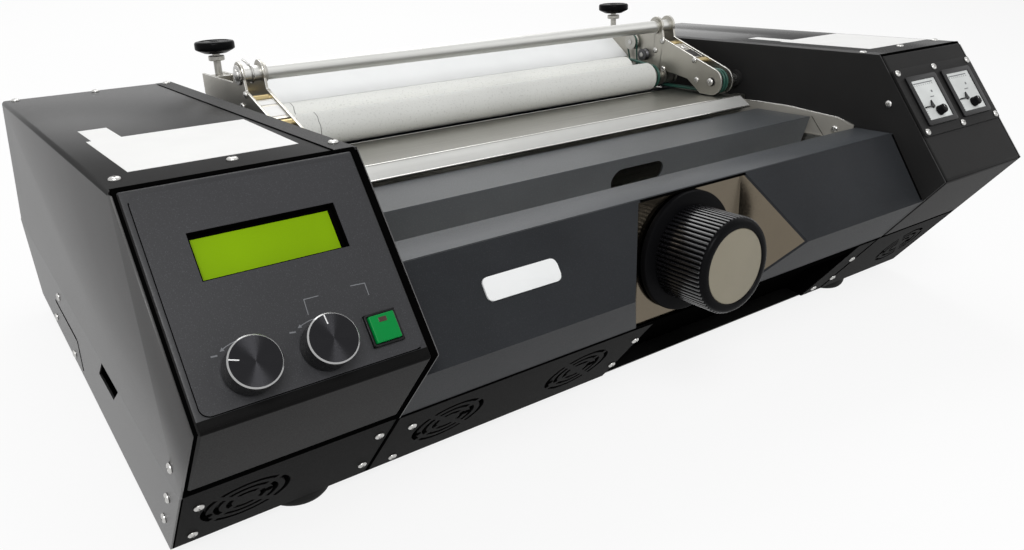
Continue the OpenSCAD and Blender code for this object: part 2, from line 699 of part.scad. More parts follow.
module front_roller() { color([0.88, 0.88, 0.85]) roller(front_axis, true); }
module rear_roller() { color([0.88, 0.88, 0.85]) roller(rear_axis, false); }
module cord_loop(d, r) {
  for (s = [-1, 1]) translate([0, s * r, 0]) rotate([0, 90, 0]) cylinder(r = belt_r, h = d, $fn = 24);
  rotate(90) rotate_extrude(angle = 180) translate([r, 0]) circle(belt_r, $fn = 24);
  translate([d, 0, 0]) rotate(-90) rotate_extrude(angle = 180) translate([r, 0]) circle(belt_r, $fn = 24);
}
module belt(x, a, b) {
  translate([x, 0, 0]) rotate([90, 0, 90]) lean2() translate([a[0], a[1], 0])
    rotate(atan2(b[1] - a[1], b[0] - a[0])) cord_loop(norm(b - a), pulley_r + belt_r + 0.3);
}
module round_belts() {
  color([0.1, 0.4, 0.3]) for (s = [-1, 1]) {
    belt(s * (arm_x[0] - 10.5), front_axis, rear_axis);
    for (k = [-2, 2]) belt(s * (arm_x[0] + 9 + k), pivot, front_axis);
  }
}
module pivot_pulley() {
  color([0.6, 0.6, 0.6]) difference() {
    rod(arm_x[0] + 5, arm_x[0] + 13, pivot, pulley_r);
    rod(arm_x[0], arm_x[0] + 20, pivot, journal_d / 2 + run);
  }
}
module handwheel() {
  color([0.04, 0.04, 0.04]) lean() translate([(arm_x[0] + arm_t + arm_x[1]) / 2, spindle_v, 0]) {
    translate([0, 0, stop_w + 0.3]) cylinder(d = spindle_d, h = 72);
    translate([0, 0, 84]) cylinder(r = 6.5, h = 4);
    translate([0, 0, 90]) cylinder(r1 = wheel_d / 2 - 7, r2 = wheel_d / 2, h = 3);
    translate([0, 0, 93]) cylinder(d = wheel_d, h = 5);
    translate([0, 0, 98]) cylinder(r1 = wheel_d / 2, r2 = wheel_d / 2 - 3, h = 2);
  }
}

// Fasteners that show
module panel_screws() {
  color([0.75, 0.75, 0.75]) {
    for (p = [[-half + 12, 25], [-half + 12, 73], [-inx - 8, 20], [-inx - 8, 68], [-inx + 17, 26], [-inx + 17, 77],
              [bay_x[0] - 4, 25], [bay_x[0] - 4, 65], [bay_x[1] + 8, 77], [bay_x[1] + 20, 31], [bay_x[1] + 28, 67]])
      on_base(p[0], p[1]) screw();
    for (m = [0, 1]) mirror([m, 0, 0]) {
      for (x = [-half + 8, ctl_x + 2, -inx - 5]) on_top(x, 19) screw();
      for (p = [[8, 15.6], [28, -20], [47, -50], [305, -27], [343, -64.5], [281, -66.5]])
        translate([-half, J[0] + p[0], J[1] + p[1]]) rotate([0, -90, 0]) screw();
    }
    for (i = [-1, 0, 1], j = [-1, 1]) on_panel(-ctl_x + i * (side_w / 2 - 8), dial_s - 0.5 + j * 28.5, plate_t) screw();
    translate([inx, T1[0] - 20, T1[1] - 38]) rotate([0, -90, 0]) screw();
    translate([inx - sheet, tz(56, -4)[0], tz(56, -4)[1]]) rotate([0, -90, 0]) screw();
  }
}

base_tray();
base_front(-half + sheet, -inx - seam / 2);  // base_front_left
base_front(-inx + seam / 2, bay_x[0]);  // base_front_mid
base_front(bay_x[1], half - sheet);  // base_front_right
bay_channel();
feet();
cover();  // left_cover
left_front();
inner_panel();  // left_inner_panel
control_plate();
control_board();
lcd_glass();
button_frame();
button_cap();
set_push_stem();
set_knob();
speed_knob();
mirror([1, 0, 0]) cover();  // right_cover
right_front();
mirror([1, 0, 0]) inner_panel();  // right_inner_panel
instrument_plate();
dial_frames();
dial_faces();
dial_knob(0);  // dial_knob_1
dial_knob(1);  // dial_knob_2
dial_pointer(0);  // dial_pointer_1
dial_pointer(1);  // dial_pointer_2
mid_front_panel();
recess_pocket();
blank_plate();
film_knob();
film_knob_cap();
doctor_blade();
glue_tank();
tank_sides();
tank_lid();
feed_table();
exit_table();
glue_roller();
motor();
motor_pulley();
drive_belt();
power_unit();
mains_inlet();
fan_frames();
fan_wheel(vent_x[0]);  // fan_wheel_left
fan_wheel(vent_x[3]);  // fan_wheel_right
mirror([1, 0, 0]) arm();  // arm_left
arm();  // arm_right
arm_spacers();
lift_bar();
guard_sheet();
front_roller();
rear_roller();
round_belts();
mirror([1, 0, 0]) pivot_pulley();  // pivot_pulley_left
pivot_pulley();  // pivot_pulley_right
mirror([1, 0, 0]) handwheel();  // handwheel_left
handwheel();  // handwheel_right
panel_screws();
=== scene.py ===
import math

import bmesh
import bpy
from mathutils import Matrix, Vector


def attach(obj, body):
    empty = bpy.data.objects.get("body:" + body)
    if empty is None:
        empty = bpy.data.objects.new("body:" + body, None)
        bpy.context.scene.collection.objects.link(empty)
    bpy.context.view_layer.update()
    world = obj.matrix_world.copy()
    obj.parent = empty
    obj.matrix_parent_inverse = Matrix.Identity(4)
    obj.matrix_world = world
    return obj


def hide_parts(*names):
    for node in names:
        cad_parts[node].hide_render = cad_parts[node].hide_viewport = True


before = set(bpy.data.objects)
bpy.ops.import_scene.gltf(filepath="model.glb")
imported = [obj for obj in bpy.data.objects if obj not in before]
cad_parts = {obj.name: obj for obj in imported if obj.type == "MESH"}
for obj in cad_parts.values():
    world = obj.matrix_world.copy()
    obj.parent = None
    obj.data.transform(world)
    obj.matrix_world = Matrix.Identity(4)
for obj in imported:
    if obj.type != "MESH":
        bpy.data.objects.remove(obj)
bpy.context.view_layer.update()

bl_info = {
    "name": "Tabletop gluing machine",
    "version": (1, 0, 0),
    "blender": (4, 5, 0),
    "location": "3D View > Sidebar > Gluing machine",
    "description": "Dresses the gluing machine's solids: panels, knobs, rollers, table, fasteners and stage",
    "category": "Object",
}

MM = 0.001
# Corners of the machine's profile in millimetres, (y, z)
TOP = (-156.096, 244.028)  # upper edge of the sloped panels
NOSE = (-243.424, 156.7)  # front edge of the housings
BASE = (-200.208, 87.0)  # upper edge of the slanted base
BACK = (193.404, 192.42)  # rear edge of the top
REAR = (249.576, 70.0)  # lower edge of the rear face
FOLD = (-186.424, 182.6)  # front edge of the leaning middle
# Slopes of the top and the middle, of the sloped panels, of the base and of the middle front
LEAN, PANEL, UNDER, MIDDLE = (math.radians(a) for a in (8.4, 45.0, 58.2, 48.154))
# Half the width, half the width between the housings, and the sheet's thickness
HALF, INNER, SHEET = 380.0, 250.0, 1.5
SHARP = math.radians(35)  # a steeper edge stays sharp
LARGE_FACE = 0.001  # square metres, above which a bent sheet's face is flat


def srgb(*levels):
    """Linear colour of display levels from 0 to 255."""
    parts = (v / 255 for v in levels)
    return tuple(c / 12.92 if c <= 0.04045 else ((c + 0.055) / 1.055) ** 2.4 for c in parts)


# Places: a matrix whose X runs to the user's right, whose Y runs up the face and whose Z points out of it
def move(x, y, z):
    """A shift in millimetres."""
    return Matrix.Translation(Vector((x, y, z)) * MM)


def spun(degrees, axis="Z"):
    return Matrix.Rotation(math.radians(degrees), 4, axis)


def at(x, y, z, turn=0.0):
    return move(x, y, z) @ Matrix.Rotation(turn, 4, "X")


def on_panel(x, s, h=0.0):
    """On the sloped panels: s down from their upper edge, h out of them."""
    c = math.sqrt(0.5)
    return at(x, TOP[0] - c * (s + h), TOP[1] - c * s + c * h, PANEL)


def on_middle(x, s, h=0.0):
    """On the middle front panel: s down from its fold."""
    c, n = math.cos(MIDDLE), math.sin(MIDDLE)
    return at(x, FOLD[0] - s * c - h * n, FOLD[1] - s * n + h * c, MIDDLE)


def on_base(x, s, h=0.0):
    """On the slanted base: s down from its upper edge."""
    c, n = math.cos(UNDER), math.sin(UNDER)
    return at(x, BASE[0] + s * c - h * n, BASE[1] - s * n - h * c, math.pi - UNDER)


def on_top(x, d, h=0.0):
    """On the housings' tops: d back from their front edge."""
    c, n = math.cos(LEAN), math.sin(LEAN)
    return at(x, TOP[0] + d * c + h * n, TOP[1] - d * n + h * c, -LEAN)


def leaning(x, v, w):
    """In the leaning frame of the middle: v back from the fold, w up from it."""
    c, n = math.cos(LEAN), math.sin(LEAN)
    return at(x, FOLD[0] + v * c + w * n, FOLD[1] - v * n + w * c, -LEAN)


def knob_axis(x, v, w):
    """Z to the front along the leaning frame."""
    return leaning(x, v, w) @ spun(90, "X")


def across(x, v, w):
    """Z along the machine's width, at a place in the leaning frame."""
    return leaning(x, v, w) @ spun(90, "Y")


def on_side(sign, y, z):
    """On the housings' outer sides, Z outwards."""
    return move(sign * HALF, y, z) @ spun(sign * 90, "Y")


def facing(sign, x, v, w):
    """Z along the width, outwards from a plate's face."""
    return Matrix.Translation(leaning(x, v, w).translation) @ spun(sign * 90, "Y")


def leaning_point(x, v, w):
    """A point of the leaning frame, in millimetres."""
    return leaning(x, v, w).translation / MM


# Outlines
def circle(n):
    """Cosine and sine at n even steps of a full turn."""
    return [(math.cos(2 * math.pi * k / n), math.sin(2 * math.pi * k / n)) for k in range(n)]


def arc(x, y, r, start, stop, step):
    """Points on a circle, at whole degrees from start to just short of stop."""
    turns = [math.radians(a) for a in range(start, stop, step)]
    return [(x + r * math.cos(a), y + r * math.sin(a)) for a in turns]


def rounded(w, h, r, steps=6):
    """Rectangle about the origin with round corners."""
    pts = []
    for sx, sy, start in ((1, 1, 0), (-1, 1, 90), (-1, -1, 180), (1, -1, 270)):
        cx, cy = sx * (w / 2 - r), sy * (h / 2 - r)
        for k in range(steps + 1):
            a = math.radians(start + 90 * k / steps)
            pts.append((cx + r * math.cos(a), cy + r * math.sin(a)))
    return pts


def shift_path(pts, d):
    """Open path moved to its left by d."""
    def left(a, b):
        e = Vector(b) - Vector(a)
        return Vector((-e.y, e.x)).normalized() * d
    out = []
    for i, p in enumerate(pts):
        p = Vector(p)
        if i == 0:
            out.append(p + left(pts[0], pts[1]))
        elif i == len(pts) - 1:
            out.append(p + left(pts[-2], pts[-1]))
        else:
            m, k = left(pts[i - 1], pts[i]), left(pts[i], pts[i + 1])
            e, g = p - Vector(pts[i - 1]), Vector(pts[i + 1]) - p
            den = e.x * g.y - e.y * g.x
            q = (p + k) - (p + m)
            t = (q.x * g.y - q.y * g.x) / den
            out.append(p + m + e * t)
    return [tuple(p) for p in out]


def fillet_path(pts, radii, steps=5):
    """Open path with its inner corners rounded, each by its own radius."""
    out = [tuple(pts[0])]
    for i in range(1, len(pts) - 1):
        p = Vector(pts[i])
        a, b = Vector(pts[i - 1]) - p, Vector(pts[i + 1]) - p
        half = a.angle(b) / 2
        cut = min(radii[i - 1] / math.tan(half), 0.45 * a.length, 0.45 * b.length)
        r = cut * math.tan(half)
        a.normalize()
        b.normalize()
        centre = p + (a + b).normalized() * (r / math.sin(half))
        s, e = p + a * cut - centre, p + b * cut - centre
        for k in range(steps + 1):
            t = k / steps
            w = s.angle(e)
            v = s if w < 1e-6 else (s * math.sin((1 - t) * w) + e * math.sin(t * w)) / math.sin(w)
            out.append(tuple(centre + v))
    out.append(tuple(pts[-1]))
    return out


def round_edges(part, edges, width, steps):
    bmesh.ops.bevel(part, geom=edges, offset=width, segments=steps, profile=0.5, affect="EDGES")


class Shape:
    """A mesh put together from worked primitives, in metres; sizes are given in millimetres."""

    def __init__(self):
        self.bm = bmesh.new()

    def take(self, part, place, mat):
        bmesh.ops.recalc_face_normals(part, faces=part.faces)
        for f in part.faces:
            f.material_index, f.smooth = mat, True
        part.transform(place @ Matrix.Scale(MM, 4))
        mesh = bpy.data.meshes.new("part")
        part.to_mesh(mesh)
        part.free()
        self.bm.from_mesh(mesh)
        bpy.data.meshes.remove(mesh)
        return self

    def block(self, place, size, bevel=0.0, steps=2, mat=0):
        """Box about its place, with rounded edges where bevel is given."""
        part = bmesh.new()
        bmesh.ops.create_cube(part, size=1.0)
        bmesh.ops.scale(part, vec=size, verts=part.verts)
        if bevel:
            round_edges(part, part.edges[:], bevel, steps)
        return self.take(part, place, mat)

    def prism(self, place, outline, z0, z1, bevel=0.0, steps=2, mat=0):
        """Outline raised from z0 to z1, with its upper edge rounded where bevel is given."""
        part = bmesh.new()
        low = [part.verts.new((x, y, z0)) for x, y in outline]
        high = [part.verts.new((x, y, z1)) for x, y in outline]
        n = len(outline)
        part.faces.new(low[::-1])
        top = part.faces.new(high)
        for i in range(n):
            part.faces.new((low[i], low[(i + 1) % n], high[(i + 1) % n], high[i]))
        if bevel:
            round_edges(part, list(top.edges), bevel, steps)
        return self.take(part, place, mat)

    def turned(self, place, profile, n=64, mat=0):
        """Profile of (radius, height) turned about Z."""
        part = bmesh.new()
        rings = []
        for r, z in profile:
            if r < 1e-6:
                rings.append([part.verts.new((0, 0, z))])
            else:
                rings.append([part.verts.new((r * c, r * s, z)) for c, s in circle(n)])
        for a, b in zip(rings, rings[1:]):
            for k in range(n):
                q = [a[k % len(a)], a[(k + 1) % len(a)], b[(k + 1) % len(b)], b[k % len(b)]]
                q = [v for i, v in enumerate(q) if v not in q[:i]]
                if len(q) > 2:
                    part.faces.new(q)
        for ring, turn in ((rings[0], -1), (rings[-1], 1)):
            if len(ring) > 1:
                part.faces.new(ring[::turn])
        return self.take(part, place, mat)

    def wire(self, pts, r, n=10, mat=0, closed=False):
        """Round wire of radius r along the points."""
        part = bmesh.new()
        pts = [Vector(p) for p in pts]
        m = len(pts)
        rings, up = [], None
        for i, p in enumerate(pts):
            a = pts[(i - 1) % m] if closed or i else p
            b = pts[(i + 1) % m] if closed or i < m - 1 else p
            t = (b - a).normalized()
            up = t.orthogonal().normalized() if up is None else (up - t * up.dot(t)).normalized()
            side = t.cross(up)
            rings.append([part.verts.new(p + (up * c + side * s) * r) for c, s in circle(n)])
        pairs = list(zip(rings, rings[1:]))
        if closed:
            best = min(range(n), key=lambda k: (rings[-1][0].co - rings[0][k].co).length)
            pairs.append((rings[-1], rings[0][best:] + rings[0][:best]))
        for a, b in pairs:
            for k in range(n):
                part.faces.new((a[k], a[(k + 1) % n], b[(k + 1) % n], b[k]))
        if not closed:
            part.faces.new(rings[0][::-1])
            part.faces.new(rings[-1])
        return self.take(part, Matrix.Identity(4), mat)

    def line(self, place, pts, width, height, mat=0):
        """Flat line that follows the points on a face."""
        left, right = shift_path(pts, width / 2), shift_path(pts, -width / 2)
        return self.prism(place, right + left[::-1], 0.0, height, mat=mat)

    def loft(self, rings, mat=0):
        """Closed rings of points, joined one after the other."""
        part = bmesh.new()
        rows = [[part.verts.new(p) for p in ring] for ring in rings]
        n = len(rows[0])
        for a, b in zip(rows, rows[1:]):
            for k in range(n):
                part.faces.new((a[k], a[(k + 1) % n], b[(k + 1) % n], b[k]))
        part.faces.new(rows[0][::-1])
        part.faces.new(rows[-1])
        return self.take(part, Matrix.Identity(4), mat)

    def mesh(self, name):
        mesh = bpy.data.meshes.new(name)
        self.bm.to_mesh(mesh)
        self.bm.free()
        mesh.set_sharp_from_angle(angle=SHARP)
        return mesh

    def finish(self, name, finishes, body, slot=None, replaces=()):
        return put(name, self.mesh(name), finishes, body, replaces)


def put(name, mesh, finishes, body, replaces=()):
    """A piece of the machine: a mesh with its finishes, on its body."""
    obj = bpy.data.objects.new(name, mesh)
    bpy.context.scene.collection.objects.link(obj)
    if not mesh.materials:
        for f in finishes if isinstance(finishes, (list, tuple)) else [finishes]:
            mesh.materials.append(finish(f))
    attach(obj, body)
    if replaces:
        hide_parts(*replaces)
    return obj


def cut_mesh(mesh, *cutters):
    """The mesh with the cutters' meshes taken out of it."""
    obj = bpy.data.objects.new("cut", mesh)
    bpy.context.scene.collection.objects.link(obj)
    extra = []
    for c in cutters:
        o = bpy.data.objects.new("cutter", c)
        bpy.context.scene.collection.objects.link(o)
        extra.append(o)
        mod = obj.modifiers.new("cut", "BOOLEAN")
        mod.operation, mod.solver, mod.object = "DIFFERENCE", "EXACT", o
    view = bpy.context.evaluated_depsgraph_get()
    view.update()
    done = bpy.data.meshes.new_from_object(obj.evaluated_get(view))
    for o in [obj] + extra:
        bpy.data.objects.remove(o)
    done.materials.clear()
    done.set_sharp_from_angle(angle=SHARP)
    return done


def spots_tree(piece, material):
    """Geometry Nodes: one copy of a piece on every point, turned to the point's own axes."""
    tree = bpy.data.node_groups.new("Spots", "GeometryNodeTree")
    face = tree.interface
    face.new_socket("Geometry", in_out="INPUT", socket_type="NodeSocketGeometry")
    face.new_socket("Size", in_out="INPUT", socket_type="NodeSocketFloat")
    face.new_socket("Spin", in_out="INPUT", socket_type="NodeSocketFloat")
    face.new_socket("Seed", in_out="INPUT", socket_type="NodeSocketInt")
    face.new_socket("Geometry", in_out="OUTPUT", socket_type="NodeSocketGeometry")
    new, link = tree.nodes.new, tree.links.new
    start, end = new("NodeGroupInput"), new("NodeGroupOutput")
    info = new("GeometryNodeObjectInfo")
    info.inputs["Object"].default_value = piece
    axes = []
    for word in ("out", "side"):
        a = new("GeometryNodeInputNamedAttribute")
        a.data_type = "FLOAT_VECTOR"
        a.inputs["Name"].default_value = word
        axes.append(a.outputs["Attribute"])
    aim, twist = new("FunctionNodeAlignRotationToVector"), new("FunctionNodeAlignRotationToVector")
    aim.axis, twist.axis, twist.pivot_axis = "Z", "X", "Z"
    link(axes[0], aim.inputs["Vector"])
    link(aim.outputs[0], twist.inputs["Rotation"])
    link(axes[1], twist.inputs["Vector"])
    copies = new("GeometryNodeInstanceOnPoints")
    link(start.outputs["Geometry"], copies.inputs["Points"])
    link(info.outputs["Geometry"], copies.inputs["Instance"])
    link(twist.outputs[0], copies.inputs["Rotation"])
    link(start.outputs["Size"], copies.inputs["Scale"])
    chance = new("FunctionNodeRandomValue")
    chance.data_type = "FLOAT"
    link(start.outputs["Spin"], chance.inputs[3])
    link(start.outputs["Seed"], chance.inputs["Seed"])
    xyz = new("ShaderNodeCombineXYZ")
    link(chance.outputs[1], xyz.inputs["Z"])
    spin = new("GeometryNodeRotateInstances")
    link(copies.outputs[0], spin.inputs["Instances"])
    link(xyz.outputs[0], spin.inputs["Rotation"])
    real, dress = new("GeometryNodeRealizeInstances"), new("GeometryNodeSetMaterial")
    dress.inputs["Material"].default_value = material
    link(spin.outputs[0], real.inputs[0])
    link(real.outputs[0], dress.inputs["Geometry"])
    link(dress.outputs[0], end.inputs[0])
    return tree


def repeat(name, mesh, spots, finish_name, body, size=1.0, spin=0.0, seed=7, replaces=()):
    """Copies of a mesh at the spots' matrices, as one plain mesh on one body."""
    piece = bpy.data.objects.new("piece", mesh)
    points = bpy.data.meshes.new("points")
    points.from_pydata([m.translation for m in spots], [], [])
    for word, axis in (("out", 2), ("side", 0)):
        layer = points.attributes.new(word, "FLOAT_VECTOR", "POINT")
        for i, m in enumerate(spots):
            layer.data[i].vector = m.to_3x3().col[axis].normalized()
    host = bpy.data.objects.new("host", points)
    for o in (piece, host):
        bpy.context.scene.collection.objects.link(o)
    tree = spots_tree(piece, finish(finish_name))
    mod = host.modifiers.new("Spots", "NODES")
    mod.node_group = tree
    for item in tree.interface.items_tree:
        if item.in_out == "INPUT" and item.name in ("Size", "Spin", "Seed"):
            mod[item.identifier] = {"Size": float(size), "Spin": float(spin), "Seed": int(seed)}[item.name]
    view = bpy.context.evaluated_depsgraph_get()
    view.update()
    done = bpy.data.meshes.new_from_object(host.evaluated_get(view))
    host.modifiers.clear()
    for o in (host, piece):
        bpy.data.objects.remove(o)
    if not done.polygons:
        raise RuntimeError(name + " came out empty")
    for p in done.polygons:
        p.use_smooth = True
    done.set_sharp_from_angle(angle=SHARP)
    return put(name, done, finish_name, body, replaces)


def flatten_large(mesh):
    """Large faces flat, so that only the bends between them are smooth."""
    for poly in mesh.polygons:
        poly.use_smooth = poly.area < LARGE_FACE


def paint(finish_name, *nodes):
    """One finish on all slots of these CAD nodes."""
    for n in nodes:
        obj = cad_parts[n]
        if not obj.material_slots:
            obj.data.materials.append(finish(finish_name))
        for s in obj.material_slots:
            s.material = finish(finish_name)


def soften(width, *nodes, bright=None):
    """Rounded edges on a CAD node's shown shape, in a finish of their own where one is named; that brighter
    finish is painted highlight.
    """
    for n in nodes:
        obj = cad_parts[n]
        weld = obj.modifiers.new("join", "WELD")
        weld.merge_threshold = 0.00001
        edge = obj.modifiers.new("edge", "BEVEL")
        edge.width, edge.segments, edge.use_clamp_overlap = width, 2, True
        edge.limit_method, edge.angle_limit = "ANGLE", math.radians(40)
        if bright:
            obj.data.materials.append(finish(bright))
            edge.material = len(obj.material_slots) - 1


# Finishes
class Finish:
    """A node material under construction."""

    def __init__(self, name, colour, rough=0.5, metal=0.0, **sockets):
        self.mat = bpy.data.materials.new(name)
        self.mat.use_nodes = True
        self.tree = self.mat.node_tree
        self.tree.nodes.clear()
        out = self.node("ShaderNodeOutputMaterial")
        self.shader = self.node("ShaderNodeBsdfPrincipled")
        self.link(self.shader.outputs[0], out.inputs[0])
        self.shader.inputs["Base Color"].default_value = (*colour, 1)
        self.shader.inputs["Roughness"].default_value = rough
        self.shader.inputs["Metallic"].default_value = metal
        for k, v in sockets.items():
            self.shader.inputs[k.replace("_", " ")].default_value = v
        self.where = self.node("ShaderNodeTexCoord").outputs["Object"]

    def node(self, kind, **props):
        n = self.tree.nodes.new(kind)
        for k, v in props.items():
            setattr(n, k, v)
        return n

    def link(self, a, b):
        self.tree.links.new(a, b)

    def mapped(self, scale):
        m = self.node("ShaderNodeMapping")
        m.inputs["Scale"].default_value = scale
        self.link(self.where, m.inputs["Vector"])
        return m.outputs[0]

    def noise(self, scale, detail=2.0, rough=0.5, where=None):
        n = self.node("ShaderNodeTexNoise")
        for socket, value in (("Scale", scale), ("Detail", detail), ("Roughness", rough)):
            n.inputs[socket].default_value = value
        self.link(where or self.where, n.inputs["Vector"])
        return n.outputs[0]

    def ramp(self, value, *stops):
        n = self.node("ShaderNodeValToRGB")
        els = n.color_ramp.elements
        while len(els) < len(stops):
            els.new(0.5)
        for e, (pos, col) in zip(els, stops):
            e.position = pos
            e.color = (*col, 1) if isinstance(col, (list, tuple)) else (col, col, col, 1)
        self.link(value, n.inputs[0])
        return n.outputs[0]

    def mix(self, fac, a, b):
        n = self.node("ShaderNodeMix", data_type="RGBA")
        for sock, v in ((n.inputs[0], fac), (n.inputs[6], a), (n.inputs[7], b)):
            if isinstance(v, bpy.types.NodeSocket):
                self.link(v, sock)
            else:
                sock.default_value = (*v, 1) if isinstance(v, (list, tuple)) else v
        return n.outputs[2]

    def math(self, op, a, b=0.0):
        n = self.node("ShaderNodeMath", operation=op)
        for sock, v in ((n.inputs[0], a), (n.inputs[1], b)):
            if isinstance(v, bpy.types.NodeSocket):
                self.link(v, sock)
            else:
                sock.default_value = v
        return n.outputs[0]

    def range(self, value, lo, hi):
        """The usual spread of a noise, 0.3 to 0.7, brought to lo to hi."""
        n = self.node("ShaderNodeMapRange")
        for socket, limit in (("From Min", 0.3), ("From Max", 0.7), ("To Min", lo), ("To Max", hi)):
            n.inputs[socket].default_value = limit
        self.link(value, n.inputs["Value"])
        return n.outputs[0]

    def axis(self, which):
        n = self.node("ShaderNodeSeparateXYZ")
        self.link(self.where, n.inputs[0])
        return n.outputs[which]

    def set(self, socket, value):
        self.link(value, self.shader.inputs[socket])
        return self

    def bump(self, height, strength, distance):
        n = self.node("ShaderNodeBump")
        n.inputs["Strength"].default_value, n.inputs["Distance"].default_value = strength, distance
        self.link(height, n.inputs["Height"])
        self.link(n.outputs[0], self.shader.inputs["Normal"])
        return self


def tint(c, k):
    """A colour made k times as light."""
    return tuple(min(1.0, x * k) for x in c)


def coated(name, colour, rough, grain=0.3, speck=0.12, shine=0.3):
    """Fine powder coat: small orange peel, faint pale specks, soft cloudiness."""
    f = Finish(name, colour, rough, Specular_IOR_Level=shine)
    cloud = f.noise(14, 4)
    peel = f.noise(1500, 2)
    fleck = f.ramp(f.noise(1900, 1), (0.60, 0.0), (0.72, 1.0))
    base = f.ramp(cloud, (0.3, tint(colour, 0.88)), (0.7, tint(colour, 1.12)))
    f.set("Base Color", f.mix(f.math("MULTIPLY", fleck, speck), base, tint(colour, 5.0)))
    f.set("Roughness", f.range(peel, rough - 0.05, rough + 0.07))
    return f.bump(peel, grain, 0.0002)


def moulded(name, colour, rough, grain=0.12, scale=1800, cloud=0.1, shine=0.4):
    """Moulded plastic, rubber, card or print."""
    f = Finish(name, colour, rough, Specular_IOR_Level=shine)
    fine = f.noise(scale, 3)
    shade = f.ramp(f.noise(35, 3), (0.3, tint(colour, 1 - cloud)), (0.7, tint(colour, 1 + cloud)))
    f.set("Base Color", shade)
    f.set("Roughness", f.range(fine, rough - 0.06, rough + 0.06))
    return f.bump(fine, grain, 0.0001)


def brushed(name, colour, rough, along=(6, 1400, 1400), grain=0.05, wear=0.08, metal=1.0):
    """Metal with fine lines along one direction and faint handling marks."""
    f = Finish(name, colour, rough, metal)
    lines = f.noise(1, 3, 0.6, f.mapped(along))
    marks = f.noise(22, 5, 0.6)
    f.set("Base Color", f.ramp(marks, (0.3, tint(colour, 1 - wear)), (0.7, tint(colour, 1 + wear))))
    f.set("Roughness", f.range(lines, rough - 0.06, rough + 0.08))
    return f.bump(lines, grain, 0.0001)


def finish(name):
    """The material of this name, which must have been made."""
    found = bpy.data.materials.get(name)
    if found is None:
        raise RuntimeError("no finish named " + name)
    return found


def roller_cover(name, colour, seam):
    """Pale roller cover with fine dark flecks, a felted surface and one thin seam round its left end."""
    f = Finish(name, colour, 0.62)
    felt = f.noise(900, 3)
    fleck = f.ramp(f.noise(620, 2, 0.7), (0.34, 1.0), (0.42, 0.0))
    soft = f.ramp(f.noise(9, 3), (0.3, tint(colour, 0.93)), (0.7, tint(colour, 1.04)))
    body = f.mix(f.math("MULTIPLY", fleck, 0.26), soft, tint(colour, 0.4))
    off = f.math("ADD", f.axis(0), f.math("MULTIPLY", f.math("SUBTRACT", f.noise(45, 2), 0.5), 0.008))
    near = f.math("ABSOLUTE", f.math("SUBTRACT", off, seam))
    f.set("Base Color", f.mix(f.math("LESS_THAN", near, 0.00035), body, tint(colour, 0.25)))
    f.set("Roughness", f.range(felt, 0.55, 0.7))
    return f.bump(felt, 0.25, 0.0003)


def turned_metal(name, colour, rough):
    """Metal turned on a lathe, whose sheen follows the piece's UV map."""
    f = Finish(name, colour, rough, 1.0, Anisotropic=0.97)
    tangent = f.node("ShaderNodeTangent", direction_type="UV_MAP", uv_map="turn")
    f.link(tangent.outputs[0], f.shader.inputs["Tangent"])
    f.set("Roughness", f.range(f.noise(900, 2), rough - 0.03, rough + 0.03))


def lit_window(name, colour):
    """Display window with an even glow."""
    f = Finish(name, colour, 0.3, Specular_IOR_Level=0.1)
    glow = f.ramp(f.noise(16, 2), (0.3, tint(colour, 0.9)), (0.7, tint(colour, 1.08)))
    f.set("Base Color", glow)
    f.set("Emission Color", glow)
    f.shader.inputs["Emission Strength"].default_value = 0.12
    f.bump(f.noise(2600, 1), 0.04, 0.0001)


